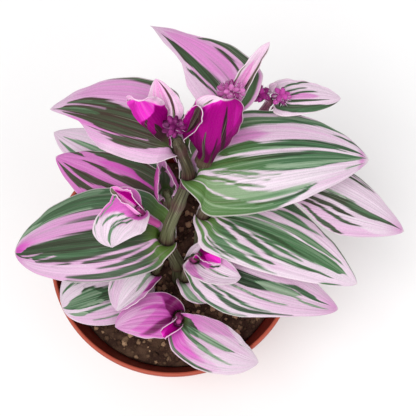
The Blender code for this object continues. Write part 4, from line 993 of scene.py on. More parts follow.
def ring_faces(rings, sides, first=0, turned_over=False):
    """Faces between rings of points, each ring closed on itself."""
    faces = []
    for i in range(rings - 1):
        for k in range(sides):
            a, b = first + i * sides + k, first + i * sides + (k + 1) % sides
            faces.append((a, a + sides, b + sides, b) if turned_over else (a, b, b + sides, a + sides))
    return faces


def circle(radius, sides):
    """Level points round the upright axis, as (x, y)."""
    angles = [2 * math.pi * k / sides for k in range(sides)]
    return [(radius * math.cos(a), radius * math.sin(a)) for a in angles]


def turned(profile, sides, bump=None):
    """Closed body turned about the upright axis; the profile starts and ends on the axis."""
    ring = profile[1:-1]
    verts = [(x, y, z + (bump(x, y, z) if bump else 0.0))
             for r, z in ring for x, y in circle(r, sides)]
    faces = ring_faces(len(ring), sides)
    low, high = len(verts), len(verts) + 1
    top = profile[-1][1]
    verts += [(0, 0, profile[0][1]), (0, 0, top + (bump(0, 0, top) if bump else 0.0))]
    last = (len(ring) - 1) * sides
    for k in range(sides):
        faces.append((low, (k + 1) % sides, k))
        faces.append((high, last + k, last + (k + 1) % sides))
    return verts, faces


def tube(line, radii, sides):
    """Closed round body along a line, with its coordinates round and along."""
    verts, uvs = [], []
    last = len(line) - 1
    run = 0.0
    for i, p in enumerate(line):
        along = unit(line[min(i + 1, last)] - line[max(i - 1, 0)])
        across = unit(np.array([1.0, 0, 0]) - along * along[0])
        third = np.cross(along, across)
        run += np.linalg.norm(line[i] - line[i - 1]) if i else 0.0
        for k in range(sides):
            a = 2 * math.pi * k / sides
            verts.append(p + radii[i] * (across * math.cos(a) + third * math.sin(a)))
            uvs.append((abs(2.0 * k / sides - 1.0), run * 0.01))
    faces = ring_faces(len(line), sides)
    faces.append(tuple(range(sides))[::-1])
    faces.append(tuple(last * sides + k for k in range(sides)))
    return verts, faces, uvs


# Stems

def stem_ends(points):
    pts = [np.array(p, float) for p in points]
    return [2 * pts[0] - pts[1]] + pts + [2 * pts[-1] - pts[-2]]


def stem_line(points, steps):
    """Smooth line through the given points."""
    p = stem_ends(points)
    line = []
    for i in range(1, len(p) - 2):
        for k in range(steps):
            t = k / steps
            a, b, c, d = p[i - 1:i + 3]
            line.append(0.5 * (2 * b + (c - a) * t + (2 * a - 5 * b + 4 * c - d) * t * t
                               + (3 * b - a - 3 * c + d) * t ** 3))
    line.append(p[-2])
    return np.array(line)


def node_on(stem, k):
    """Where a leaf leaves its stem: point, direction and stem radius."""
    points, foot, top = STEMS[stem]
    p = stem_ends(points)
    return p[k + 1], unit(p[k + 2] - p[k]), foot + (top - foot) * k / (len(points) - 1)


def joint_rings(points, line):
    """1 at each joint of the stem, fading to 0 along the line."""
    ring = np.zeros(len(line))
    for p in points[1:-1]:
        away = np.linalg.norm(line - np.array(p, float), axis=1)
        ring = np.maximum(ring, np.exp(-(away / JOINT_REACH) ** 2))
    return ring


def make_stem(name, settings, skin):
    """Stem that swells at its joints and ends in a round top."""
    points, foot, top = STEMS[name]
    line = stem_line(points, settings.steps)
    ring = joint_rings(points, line)
    radii = np.linspace(foot, top, len(line)) * (STEM_WAIST + (STEM_JOINT - STEM_WAIST) * ring)
    tip = line[-1]
    along = unit(tip - line[-2])
    keep = np.linalg.norm(line - tip, axis=1) > top
    reach, scale = np.array(STEM_TOP).T
    line = np.concatenate([line[keep], tip - np.outer(top * (1 - reach), along)])
    radii = np.concatenate([radii[keep], top * scale])
    ring = np.concatenate([ring[keep], np.zeros(len(reach))])
    flush = np.interp(np.linspace(0, 1, len(line)), (0.3, 0.7), STEM_FLUSH.get(name, (0, 0)))
    verts, faces, uvs = tube(line, radii, settings.sides)
    fields = {"ring": np.repeat(ring, settings.sides), "flush": np.repeat(flush, settings.sides)}
    return mesh_object(name + "_skin", verts, faces, [skin], uvs=uvs, fields=fields)


# Leaves

def blade_direction(leaf, az, el, s):
    """Way the blade points at this share of its length, and the level way across it."""
    a = az + math.radians(leaf["sweep"]) * (0.5 - s)
    e = el + math.radians(leaf["droop"]) * (0.5 - s)
    square = a if leaf["facing"] is None else math.radians(leaf["facing"])
    flat = np.array([math.sin(square), -math.cos(square), 0.0])
    return np.array([math.cos(a) * math.cos(e), math.sin(a) * math.cos(e), math.sin(e)]), flat


def heading(v):
    """Compass angle and rise of a direction, in radians."""
    return math.atan2(v[1], v[0]), math.atan2(v[2], math.hypot(v[0], v[1]))


def leaving_direction(leaf, tip, node, axis):
    """Way out of the stem, square to it, on the side that the leaf leaves from."""
    out = np.array([tip[0] - node[0], tip[1] - node[1], 0.0])
    if leaf["aim"] is not None:
        aim = math.radians(leaf["aim"])
        out = np.array([math.cos(aim), math.sin(aim), 0.0])
    return unit(out - axis * np.dot(out, axis))


def midrib(leaf, start, tip, axis):
    """Line from the mouth of the sheath to the tip, and what it took to get there."""
    goal = np.asarray(tip, float) - start
    goal_az, goal_el = heading(goal)
    az, el = goal_az, goal_el
    length = np.linalg.norm(goal)
    for _ in range(AIM_ROUNDS):
        line = [start]
        for i in range(BEND_STEPS):
            s = (i + 0.5) / BEND_STEPS
            blade, _flat = blade_direction(leaf, az, el, s)
            w = ease(s * length / leaf["bend"])
            line.append(line[-1] + unit(axis * (1 - w) + blade * w) * length / BEND_STEPS)
        got = line[-1] - start
        got_az, got_el = heading(got)
        length *= np.linalg.norm(goal) / np.linalg.norm(got)
        az += goal_az - got_az
        el += goal_el - got_el
    return np.array(line), az, el, length


def leaf_stations(rows, columns, sheath_rows):
    """Places along and across the leaf, closer together towards the foot and tip."""
    even = np.linspace(0, 1, rows)
    blade = 0.55 * even + 0.45 * 0.5 * (1 - np.cos(math.pi * even))
    sheath = np.linspace(-1, 0, sheath_rows, endpoint=False)
    level = np.linspace(-1, 1, columns)
    return np.concatenate([sheath, blade]), 0.75 * level + 0.25 * np.sin(level * math.pi / 2)


def trimmed(trim, rows, cols):
    """Where each point of the grid lies across the untrimmed leaf."""
    across = np.tile(cols, (len(rows), 1))
    if trim:
        at, left, right = np.array(trim).T
        for side, share in ((cols < 0, left), (cols >= 0, right)):
            across[:, side] *= np.interp(rows, at, share)[:, None]
    return across


def blade_frame(leaf, axis, side_foot, az, el, s, bent):
    """Directions along, across and up from the blade, as it bends away from the stem."""
    blade, flat = blade_direction(leaf, az, el, s)
    if np.dot(flat, side_foot) < 0:
        flat = -flat
    along = unit(axis * (1 - bent) + blade * bent)
    side = side_foot * (1 - bent) + flat * bent
    side = unit(side - along * np.dot(side, along))
    return along, side, np.cross(side, along)


def outline_width(leaf, s):
    """Width of the flat blade at this share of its length."""
    early, late = leaf["early"], leaf["late"]
    peak = (early / (early + late)) ** early * (late / (early + late)) ** late
    return leaf["width"] * s ** early * (1 - s) ** late / peak


def half_section(leaf, hand, half, opening, q):
    """Reach sideways and up of one half of the blade, at these shares of its width."""
    room = min(half / NARROW, 1.0)
    tilt = math.radians(pair(leaf["fold"], hand)) * opening * room
    turn = (math.radians(leaf["grasp"]) * (1 - opening)
            + math.radians(pair(leaf["curl"], hand)) * opening * room)
    if abs(turn) <= 1e-3:
        turn = 1e-3
    return (half * (np.sin(tilt + turn * q) - math.sin(tilt)) / turn,
            half * (math.cos(tilt) - np.cos(tilt + turn * q)) / turn)


def leaf_grid(leaf, tip, node, axis, stem_radius, rows, across):
    """Grid of points on the middle surface of a leaf, and the leaf's length."""
    reach = stem_radius + SHEATH_GAP + leaf["slack"] + CAD_THICKNESS / 2
    out = leaving_direction(leaf, tip, node, axis)
    line, az, el, length = midrib(leaf, node + out * reach, tip, axis)
    side_foot = np.cross(out, axis)
    sheath_half = math.radians(leaf["grasp"]) * reach
    grid = np.zeros((*across.shape, 3))
    for row, v, u in zip(grid, rows, across):
        s = max(v, 0.0)
        step = min(int(s * BEND_STEPS), BEND_STEPS - 1)
        f = s * BEND_STEPS - step
        pos = line[step] * (1 - f) + line[step + 1] * f + axis * (min(v, 0.0) * leaf["sheath"])
        bent = ease(s * length / leaf["bend"])
        along, side, up = blade_frame(leaf, axis, side_foot, az, el, s, bent)
        opening = ease(s * length / leaf["flare"])
        widening = ease(s * length / (1.5 * leaf["flare"]))
        back = leaf["lobe"] * opening * (1 - ease((s * length - LOBE_START) / LOBE_FADE))
        outline = outline_width(leaf, s)
        for hand in (-1, 1):
            mine = (u < 0) if hand < 0 else (u >= 0)
            q = np.abs(u[mine])
            share = leaf["left"] if hand < 0 else 1 - leaf["left"]
            half = max(sheath_half * (1 - widening) + outline * share * widening, POINT_HALF)
            x, z = half_section(leaf, hand, half, opening, q)
            row[mine] = (pos + np.outer(x * hand, side) + np.outer(z, up)
                         - np.outer(back * q * q, along))
    return grid, length


def surface_normals(grid):
    normal = np.cross(np.gradient(grid, axis=1), np.gradient(grid, axis=0))
    return normal / (np.linalg.norm(normal, axis=2, keepdims=True) + 1e-12)


def relief(leaf, length, rows, u, seed):
    """Height of the upper face over the plain surface: midrib groove, pleats and waved margin."""
    draw = random.Random(seed)
    t = np.maximum(rows, 0.0)[:, None]
    open_blade = np.clip(t * length / 12.0, 0, 1) * np.clip((1 - t) * 6, 0, 1)
    groove = -GROOVE_DEPTH * np.exp(-(u / GROOVE_WIDTH) ** 2)
    pleats = (PLEAT_HEIGHT * np.cos(u * PLEAT_CLOSE + 0.6) * (1 - u * u)
              + FINE_HEIGHT * np.cos(u * FINE_CLOSE + seed))
    waves = np.zeros_like(u)
    for _ in range(WAVES):
        count, phase, skew = draw.uniform(2, 7), draw.uniform(0, 6.3), draw.uniform(0, 6.3)
        waves = waves + np.sin(count * 2 * math.pi * t + phase + skew * np.sign(u)) / WAVES
    margin = leaf["ruffle"] * 2.0 * waves * np.abs(u) ** 3
    return (groove + pleats + margin) * open_blade


def band_distance(points, t, u):
    """How deep inside the band, in shares of a half width; negative outside."""
    at, left, right = np.array(points).T
    inside = np.minimum(u - np.interp(t, at, left), np.interp(t, at, right) - u)
    return inside - 1.5 * np.maximum(at[0] - t, 0) - 1.5 * np.maximum(t - at[-1], 0)


def stripe_fields(bands, t, u):
    """Signed distance to the bands and their depth at every point; the sheath is all green."""
    field = np.full(u.shape, -1.0)
    depth = np.full(u.shape, 0.5)
    for own, *points in bands:
        away = band_distance(points, t, u)
        if own < 0:
            field = np.minimum(field, -away)
            continue
        depth = np.where((away > field) & (away < 0), own, depth)
        depth = depth + (own - depth) * np.clip(away / DEPTH_FADE, 0, 1)
        field = np.maximum(field, away)
    sheath = np.clip(-t / SHEATH_FADE, 0, 1)
    field = np.maximum(field, 0.2 * sheath - 0.1 * (1 - sheath) - 1.0 * (sheath == 0))
    return field, depth + (SHEATH_DEPTH - depth) * sheath


def blush_field(looks, t, u):
    """How pink the ground is at every point, with its soft stripes and patches."""
    blush = np.full(u.shape, looks["blush"])
    for amount, *points in looks.get("tints", ()):
        blush = blush + amount * np.clip(band_distance(points, t, u) / TINT_FADE + 0.5, 0, 1)
    for across, along, wide, long, amount in looks.get("glows", ()):
        blush = blush + amount * np.exp(-((u - across) / wide) ** 2 - ((t - along) / long) ** 2)
    return np.clip(blush, 0, 2)


def margin_field(leaf, cols, t):
    """1 on the pale margin and on the very tip, 0 on the rest of the blade."""
    share = 2 * MARGIN / leaf["width"]
    edge = np.clip((np.abs(cols) - 1 + share) / share * 1.5, 0, 1)[None, :]
    return np.maximum(edge, np.clip((t - TIP_START) / TIP_FADE, 0, 1))


def leaf_fields(leaf, looks, t, u, cols):
    """Everything that the stripes group reads, at every point."""
    bands = looks["bands"] if "bands" in looks else wild_bands(looks["wild"])
    stripe, depth = stripe_fields(bands, t, u)
    foot = looks.get("lime", 0.4) * np.clip(1 - t / looks.get("reach", 0.15), 0, 1)
    return {"stripe": stripe, "depth": depth, "blush": blush_field(looks, t, u),
            "margin": margin_field(leaf, cols, t), "warm": np.full(u.shape, looks.get("warm", 0.1)),
            "foot": foot + looks.get("fresh", 0.0) + np.zeros_like(u)}


def wild_bands(seed):
    """Bands drawn by chance, for leaves that the photograph doesn't show."""
    draw = random.Random(seed)
    bands = []
    left = -0.95
    while left < 0.9:
        right = left + draw.uniform(0.06, 0.24)
        end = draw.uniform(0.5, 0.95)
        middle = (left + right) / 2
        bands.append((draw.uniform(0.45, 0.95), (-0.1, left * 0.9, right * 0.9),
                      (end * 0.7, left, right), (end, middle, middle + 0.01)))
        left = right + draw.uniform(0.06, 0.2)
    return bands


def sheet_faces(rows, cols):
    """Faces of a closed sheet of two like grids, with the slot of each: 0 upper, 1 lower."""
    low = rows * cols
    i, j = np.meshgrid(np.arange(rows - 1), np.arange(cols - 1), indexing="ij")
    a = (i * cols + j).ravel()
    upper = np.stack([a, a + 1, a + 1 + cols, a + cols], 1)
    lower = upper[:, ::-1] + low
    edge = list(range(cols)) + [r * cols + cols - 1 for r in range(1, rows)]
    edge += [(rows - 1) * cols + c for c in range(cols - 2, -1, -1)]
    edge += [r * cols for r in range(rows - 2, 0, -1)]
    rim = [(p, low + p, low + q, q) for p, q in zip(edge, edge[1:] + edge[:1])]
    faces = [tuple(f) for f in upper] + [tuple(f) for f in lower] + rim
    return faces, [0] * len(upper) + [1] * len(lower) + [0] * len(rim)


def leaf_faces(slot):
    """Materials of the upper and the lower face."""
    if slot == "bract":
        both = leaf_material("bract_face", BRACT, 0.4, ragged=0.1, gloss=0.03)
        return [both, both]
    return [leaf_material("leaf_upper_face", UPPER, 0.42),
            leaf_material("leaf_lower_face", UNDER, 0.5, ragged=0.1, gloss=0.12)]


def make_leaf(name, settings):
    """One leaf: the model's own surface on a fine grid, with its relief and stripes."""
    stem, k, tip, own = LEAVES[name]
    leaf = {**PLAIN, **own}
    looks = LOOKS[name]
    node, axis, radius = node_on(stem, k)
    share = settings.small if leaf["width"] < SMALL_LEAF else 1.0
    rows, cols = leaf_stations(int(settings.rows * share), int(settings.columns * share),
                               settings.sheath_rows)
    across = trimmed(looks.get("trim"), rows, cols)
    grid, length = leaf_grid(leaf, tip, node, axis, radius, rows, across)
    seed = sum(ord(c) for c in name)
    normal = surface_normals(grid)
    middle = grid + normal * relief(leaf, length, rows, across, seed)[..., None]
    spread = MIDDLE_THICKNESS + (MARGIN_THICKNESS - MIDDLE_THICKNESS) * np.abs(cols) ** 3
    half = normal * (spread[None, :, None] * settings.thickness) / 2
    verts = np.concatenate([(middle + half).reshape(-1, 3), (middle - half).reshape(-1, 3)])
    faces, slots = sheet_faces(len(rows), len(cols))
    t = np.where(rows < 0, rows * leaf["sheath"] / length, rows)[:, None]
    fields = {key: np.tile(value.ravel(), 2)
              for key, value in leaf_fields(leaf, looks, t, across, cols).items()}
    wide = across * leaf["width"] / VEINS_WIDE + 0.5 + seed * VEINS_SHIFT
    long = np.broadcast_to(t * length / VEINS_LONG, across.shape)
    uvs = np.tile(np.stack([wide.ravel(), long.ravel()], 1), (2, 1))
    return mesh_object(name + "_blade", verts, faces, leaf_faces(slot_of(name)), slots, uvs, fields)


def place_leaves(settings, bracts):
    """All the bracts, or all the other leaves."""
    for name in LEAVES:
        if name.startswith("bract") == bracts:
            place(make_leaf(name, settings), name)


# Scattered small things

def shape_crumb(tree):
    """Small ball pushed out of round."""
    ball = add(tree, "GeometryNodeMeshIcoSphere", {"Radius": 1.0, "Subdivisions": 2})
    rough = add(tree, "ShaderNodeTexNoise", {"Scale": 0.9, "Detail": 2.0})
    offset = add(tree, "ShaderNodeVectorMath", {0: rough.outputs["Color"], 1: (0.5, 0.5, 0.5)},
                 operation="SUBTRACT")
    more = add(tree, "ShaderNodeVectorMath", {0: offset.outputs[0], "Scale": 2.4}, operation="SCALE")
    moved = add(tree, "GeometryNodeSetPosition", {"Geometry": ball.outputs["Mesh"],
                                                  "Offset": more.outputs[0]})
    return moved.outputs[0]


def shape_bud(tree):
    """Pointed bud: a ball whose sides draw in towards a raised tip."""
    ball = add(tree, "GeometryNodeMeshUVSphere", {"Segments": 7, "Rings": 7, "Radius": 1.0})
    spot = add(tree, "GeometryNodeInputPosition")
    split = add(tree, "ShaderNodeSeparateXYZ", {0: spot.outputs[0]}).outputs
    rise = calc(tree, "MULTIPLY_ADD", split[2], 0.5, 0.5)
    narrow = calc(tree, "MULTIPLY_ADD", rise, -0.3, 1.0)
    shape = add(tree, "ShaderNodeCombineXYZ", {0: calc(tree, "MULTIPLY", split[0], narrow),
                                               1: calc(tree, "MULTIPLY", split[1], narrow),
                                               2: calc(tree, "MULTIPLY", split[2], 1.35)})
    moved = add(tree, "GeometryNodeSetPosition", {"Geometry": ball.outputs["Mesh"],
                                                  "Position": shape.outputs[0]})
    return moved.outputs[0]


def shape_hair(tree):
    """Thin spike."""
    spike = add(tree, "GeometryNodeMeshCone", {"Vertices": 4, "Radius Top": 0.006,
                                               "Radius Bottom": 0.06, "Depth": 1.0})
    return spike.outputs["Mesh"]


def scatter_tree(name, shape):
    """Geometry nodes that set small shapes upright on a surface at random."""
    tree, get, end = new_group("GeometryNodeTree", name, {
        "Surface": "NodeSocketGeometry", "Spacing": 0.001, "Density": 100000.0, "Smallest": 0.0005,
        "Largest": 0.001, "Tilt": 0.5, "Seed": 1, "Finish": "NodeSocketMaterial"},
        ("Pieces",), gives="NodeSocketGeometry")
    points = add(tree, "GeometryNodeDistributePointsOnFaces", {
        "Mesh": get["Surface"], "Distance Min": get["Spacing"], "Density Max": get["Density"],
        "Seed": get["Seed"]}, distribute_method="POISSON")
    size = add(tree, "FunctionNodeRandomValue", {2: get["Smallest"], 3: get["Largest"],
                                                 "Seed": get["Seed"]}, data_type="FLOAT")
    tilt = add(tree, "FunctionNodeRandomValue", {0: (-1, -1, -3.14), 1: (1, 1, 3.14),
                                                 "Seed": get["Seed"]}, data_type="FLOAT_VECTOR")
    lean = add(tree, "ShaderNodeVectorMath", {0: tilt.outputs[0], "Scale": get["Tilt"]},
               operation="SCALE")
    turn = add(tree, "FunctionNodeRotateRotation", {0: points.outputs["Rotation"],
                                                    1: lean.outputs[0]}, rotation_space="LOCAL")
    placed = add(tree, "GeometryNodeInstanceOnPoints", {
        "Points": points.outputs["Points"], "Instance": shape(tree), "Rotation": turn.outputs[0],
        "Scale": size.outputs[1]})
    shade = add(tree, "FunctionNodeRandomValue", {"Seed": 7}, data_type="FLOAT")
    kept = add(tree, "GeometryNodeStoreNamedAttribute", {
        "Geometry": placed.outputs[0], "Name": "shade", "Value": shade.outputs[1]},
        data_type="FLOAT", domain="INSTANCE")
    real = add(tree, "GeometryNodeRealizeInstances", {0: kept.outputs[0]})
    finish = add(tree, "GeometryNodeSetMaterial", {"Geometry": real.outputs[0],
                                                   "Material": get["Finish"]})
    feed(tree, end, {"Pieces": finish.outputs[0]})
    return tree


def scatter(name, source, tree, values):
    """Runs the tree on a surface object and keeps its result as a plain mesh."""
    modifier = source.modifiers.new("scatter", "NODES")
    modifier.node_group = tree
    for item in tree.interface.items_tree:
        if item.item_type == "SOCKET" and item.in_out == "INPUT" and item.name in values:
            modifier[item.identifier] = values[item.name]
    mesh = finished_mesh(source)
    if not mesh.polygons:
        raise RuntimeError(name + " came out empty")
    bpy.data.objects.remove(source, do_unlink=True)
    mesh.name = name
    mesh.shade_smooth()
    return new_object(name, mesh)


# Pot and soil

def outer_radius(z):
    """Outside of the wall: a plain cone up to the shoulder, then the flared collar."""
    if z <= POT_SHOULDER_HEIGHT:
        return POT_BASE_RADIUS + (POT_SHOULDER_RADIUS - POT_BASE_RADIUS) * z / POT_SHOULDER_HEIGHT
    flare = POT_RIM_RADIUS - COLLAR_INSET - POT_SHOULDER_RADIUS
    return POT_SHOULDER_RADIUS + flare * (z - POT_SHOULDER_HEIGHT) / COLLAR_HEIGHT


def inner_radius(z):
    return outer_radius(z) - POT_WALL


def lip_points():
    """Rolled lip from its underside over the top to the inner wall."""
    low = POT_HEIGHT - LIP_HEIGHT
    middle = POT_RIM_RADIUS - LIP_WIDTH / 2
    points = [(outer_radius(low), low)] + [(POT_RIM_RADIUS + out, low + up) for out, up in LIP_EDGE]
    for k in range(LIP_STEPS + 1):
        a = math.pi * k / LIP_STEPS
        points.append((middle + LIP_WIDTH / 2 * math.cos(a),
                       POT_HEIGHT - LIP_ROUND + LIP_ROUND * math.sin(a)))
    return points


def pot_profile():
    """Pot's outline from the middle of its base round the lip to the middle of its floor."""
    shoulder = POT_SHOULDER_HEIGHT
    outside = [(0, 0)] + [(POT_BASE_RADIUS + out, up) for out, up in BASE_EDGE]
    outside += [(outer_radius(z), z) for z in np.linspace(4, shoulder - 1, 12)]
    outside += [(outer_radius(shoulder) + 0.15, shoulder + 0.2),
                (outer_radius(shoulder + 2), shoulder + 2)]
    heights = [POT_HEIGHT - 4, POT_HEIGHT - 8, shoulder + 1, shoulder - 1]
    heights += list(np.linspace(60, POT_FLOOR + 1.5, 5))
    inside = [(inner_radius(z), z) for z in heights]
    return outside + lip_points() + inside + [(inner_radius(POT_FLOOR) - 1.2, POT_FLOOR), (0, POT_FLOOR)]


def drill_hole(pot, k):
    """Cuts one drain hole through the floor of the pot."""
    a = 2 * math.pi * (k + DRAIN_START) / DRAIN_HOLES
    x, y = DRAIN_CIRCLE * math.cos(a), DRAIN_CIRCLE * math.sin(a)
    line = np.array([(x, y, -POT_FLOOR), (x, y, 2 * POT_FLOOR)])
    verts, faces, _uvs = tube(line, [DRAIN_RADIUS] * 2, DRAIN_SIDES)
    drill = mesh_object("drain_drill", verts, faces, [pot.data.materials[0]])
    cut = pot.modifiers.new("drain", "BOOLEAN")
    cut.operation, cut.object, cut.solver = "DIFFERENCE", drill, "EXACT"
    mesh = finished_mesh(pot)
    pot.modifiers.clear()
    pot.data = mesh
    bpy.data.objects.remove(drill, do_unlink=True)


def make_pot(settings):
    """Turned pot with its drain holes."""
    verts, faces = turned(pot_profile(), settings.sides)
    verts = np.array(verts)
    level = verts[:, 2]
    wall = np.array([outer_radius(z) - POT_SKIN for z in level])
    lip = np.clip((level - (POT_HEIGHT - WEAR_START)) / WEAR_FADE, 0, 1)
    # Painted shade on the inner wall, faded out on the lip.
    inside = (np.hypot(verts[:, 0], verts[:, 1]) < wall) & (level > 1)
    fields = {"wear": lip, "inside": inside.astype(float) * (1 - lip)}
    pot = mesh_object("pot_shell", verts, faces, [pot_material(settings.colour)], fields=fields)
    for k in range(DRAIN_HOLES):
        drill_hole(pot, k)
    pot.data.name = "pot_shell"
    pot.data.set_sharp_from_angle(angle=math.radians(SHARP_ANGLE))
    return pot


def soil_bump(x, y, z):
    """The model's small heaps, with finer lumps on them, fading towards the wall."""
    if z < SOIL_TOP - 0.1:
        return 0.0
    away = math.hypot(x, y)
    heaps = (math.sin(0.31 * x + 1.3) * math.cos(0.27 * y - 0.4)
             + 0.6 * math.sin(0.55 * x - 0.35 * y + 0.7))
    lumps = math.sin(1.7 * x + 0.9 * y) * math.cos(1.3 * y - 0.8 * x) + 0.6 * math.sin(2.9 * x - 2.3 * y)
    return (SOIL_BUMP * ease((HEAPS_END - away) / HEAPS_FADE) * heaps
            + SOIL_LUMP * lumps * ease((LUMPS_END - away) / LUMPS_FADE))


def soil_edge():
    return inner_radius(SOIL_TOP) - SOIL_GAP - 0.3


def make_soil(settings):
    """Body of soil that fills the pot, with its uneven top."""
    bottom = POT_FLOOR + 0.4
    foot = inner_radius(POT_FLOOR + 1) - SOIL_GAP - 0.4
    edge = soil_edge()
    profile = [(0, bottom), (foot - 1, bottom), (foot, bottom + 1), (edge, SOIL_TOP - 0.6)]
    profile += [(r, SOIL_TOP) for r in np.linspace(edge - 1, 1.2, settings.rings)]
    verts, faces = turned(profile + [(0, SOIL_TOP)], settings.sides, soil_bump)
    mat = soil_material("soil_ground", (58, 38, 30), (120, 92, 72), loose=False)
    return mesh_object("soil_ground", verts, faces, [mat])


def soil_surface():
    """Open sheet on top of the soil that carries the crumbs."""
    radii = np.linspace(0.5, soil_edge() - 1.2, CRUMB_BED_RINGS)
    verts = [(x, y, SOIL_TOP + soil_bump(x, y, SOIL_TOP))
             for r in radii for x, y in circle(r, CRUMB_BED_SIDES)]
    faces = ring_faces(CRUMB_BED_RINGS, CRUMB_BED_SIDES, turned_over=True)
    return mesh_object("crumb_bed", verts, faces, [])


def ellipsoid(name, middle, size):
    """Closed core of a bud cluster, which carries its buds and hairs."""
    rings, sides = CORE_RINGS, CORE_SIDES
    verts = [(middle[0], middle[1], middle[2] + size[2])]
    for i in range(1, rings):
        for j in range(sides):
            lat, lon = math.pi * i / rings, 2 * math.pi * j / sides
            verts.append((middle[0] + size[0] * math.sin(lat) * math.cos(lon),
                          middle[1] + size[1] * math.sin(lat) * math.sin(lon),
                          middle[2] + size[2] * math.cos(lat)))
    verts.append((middle[0], middle[1], middle[2] - size[2]))
    faces = []
    last = 1 + (rings - 2) * sides
    for j in range(sides):
        faces.append((0, 1 + j, 1 + (j + 1) % sides))
        faces.append((len(verts) - 1, last + (j + 1) % sides, last + j))
    faces += ring_faces(rings - 1, sides, first=1, turned_over=True)
    return mesh_object(name, verts, faces, [])


# Settings

class PlantPotSettings(bpy.types.PropertyGroup):
    """Sizes and colour of the pot."""
    colour: FloatVectorProperty(name="Colour", description="Colour of the pot's plastic",
                                subtype="COLOR", size=3, min=0, max=1, default=srgb(160, 62, 46))
    sides: IntProperty(name="Sides", description="Sides of the turned pot", default=160, min=24)


class PlantSoilSettings(bpy.types.PropertyGroup):
    """Fineness of the soil and its crumbs."""
    rings: IntProperty(name="Rings", description="Rings across the soil's top", default=70, min=10)
    sides: IntProperty(name="Sides", description="Sides of the soil", default=160, min=24)
    crumb: FloatProperty(name="Crumb", description="Largest radius of a crumb", unit="LENGTH",
                         default=0.0017, min=0.0002)
    seed: IntProperty(name="Seed", description="Where the crumbs fall", default=5)


class PlantStemSettings(bpy.types.PropertyGroup):
    """Fineness of the stems."""
    steps: IntProperty(name="Steps", description="Rings between two points of a stem", default=22,
                       min=4)
    sides: IntProperty(name="Sides", description="Sides of a stem", default=28, min=8)


class PlantLeafSettings(bpy.types.PropertyGroup):
    """Fineness and thickness of the leaves."""
    rows: IntProperty(name="Rows", description="Rows of points along a blade", default=90, min=12)
    columns: IntProperty(name="Columns", description="Columns of points across a leaf", default=101,
                         min=9)
    small: FloatProperty(name="Small leaves", description="Share of the rows on a small leaf",
                         default=0.7, min=0.1, max=1)
    sheath_rows: IntProperty(name="Sheath rows", description="Rows along the sheath", default=6,
                             min=1)
    thickness: FloatProperty(name="Thickness", description="Thickness against the drawn one",
                             default=1.0, min=0.2, max=1.1)


class PlantBudSettings(bpy.types.PropertyGroup):
    """Buds and hairs of the clusters."""
    bud: FloatProperty(name="Bud", description="Radius of one bud", unit="LENGTH", default=0.0018,
                       min=0.0002)
    hair: FloatProperty(name="Hair", description="Length of one hair", unit="LENGTH",
                        default=0.0026, min=0.0002)


class PlantStageSettings(bpy.types.PropertyGroup):
    """Floor and light."""
    floor: FloatVectorProperty(name="Floor", description="Colour of the floor", subtype="COLOR",
                               size=3, min=0, max=1, default=(0.93, 0.93, 0.93))
    key: FloatProperty(name="Key light", description="Power of the main light", unit="POWER",
                       default=27.0, min=0)
    sky: FloatProperty(name="Sky", description="Strength of the light from all round", default=0.58,
                       min=0)


# Operators

class PLANT_OT_pot(bpy.types.Operator):
    """Pot with its rolled lip and drain holes"""
    bl_idname = "plant.pot"
    bl_label = "Pot"

    def execute(self, context):
        place(make_pot(context.scene.plant_pot), "pot")
        return {"FINISHED"}


class PLANT_OT_soil(bpy.types.Operator):
    """Soil with crumbs on its top"""
    bl_idname = "plant.soil"
    bl_label = "Soil"

    def execute(self, context):
        settings = context.scene.plant_soil
        place(make_soil(settings), "soil")
        mat = soil_material("soil_crumb", (70, 48, 36), (186, 150, 118), loose=True)
        tree = scatter_tree("Soil crumbs", shape_crumb)
        crumbs = scatter("soil_crumbs", soil_surface(), tree, {
            "Spacing": settings.crumb * 1.3, "Density": CRUMB_DENSITY,
            "Smallest": settings.crumb * 0.3, "Largest": settings.crumb, "Tilt": 1.0,
            "Seed": settings.seed, "Finish": mat})
        place(crumbs, None)
        return {"FINISHED"}


class PLANT_OT_stems(bpy.types.Operator):
    """All the stems"""
    bl_idname = "plant.stems"
    bl_label = "Stems"

    def execute(self, context):
        skin = stem_material()
        for name in STEMS:
            place(make_stem(name, context.scene.plant_stem, skin), name)
        return {"FINISHED"}


class PLANT_OT_leaves(bpy.types.Operator):
    """Striped leaves, large and young"""
    bl_idname = "plant.leaves"
    bl_label = "Leaves"

    def execute(self, context):
        place_leaves(context.scene.plant_leaf, bracts=False)
        return {"FINISHED"}


class PLANT_OT_bracts(bpy.types.Operator):
    """Small magenta leaves round the buds"""
    bl_idname = "plant.bracts"
    bl_label = "Bracts"

    def execute(self, context):
        place_leaves(context.scene.plant_leaf, bracts=True)
        return {"FINISHED"}


class PLANT_OT_buds(bpy.types.Operator):
    """Bud clusters with white hairs"""
    bl_idname = "plant.buds"
    bl_label = "Buds"

    def execute(self, context):
        settings = context.scene.plant_bud
        hair = hair_material()
        bud_tree = scatter_tree("Buds", shape_bud)
        hair_tree = scatter_tree("Bud hairs", shape_hair)
        for k, (name, (middle, size, dark, light, hairy)) in enumerate(BUDS.items()):
            inner = [s - CORE_DEPTH for s in size]
            skin = bud_material(name + "_skin", dark, light)
            core = ellipsoid(name + "_core", middle, inner)
            cluster = scatter(name + "_cluster", core, bud_tree, {
                "Spacing": settings.bud * 1.05, "Density": BUD_DENSITY,
                "Smallest": settings.bud * 0.7, "Largest": settings.bud, "Tilt": 0.3, "Seed": k + 1,
                "Finish": skin})
            place(cluster, name)
            bed = ellipsoid(name + "_bed", middle, inner)
            fuzz = scatter(name + "_hairs", bed, hair_tree, {
                "Spacing": HAIR_SPACING, "Density": BUD_DENSITY * hairy,
                "Smallest": settings.hair * 0.6, "Largest": settings.hair, "Tilt": 0.6,
                "Seed": k + 9, "Finish": hair})
            place(fuzz, None)
        return {"FINISHED"}


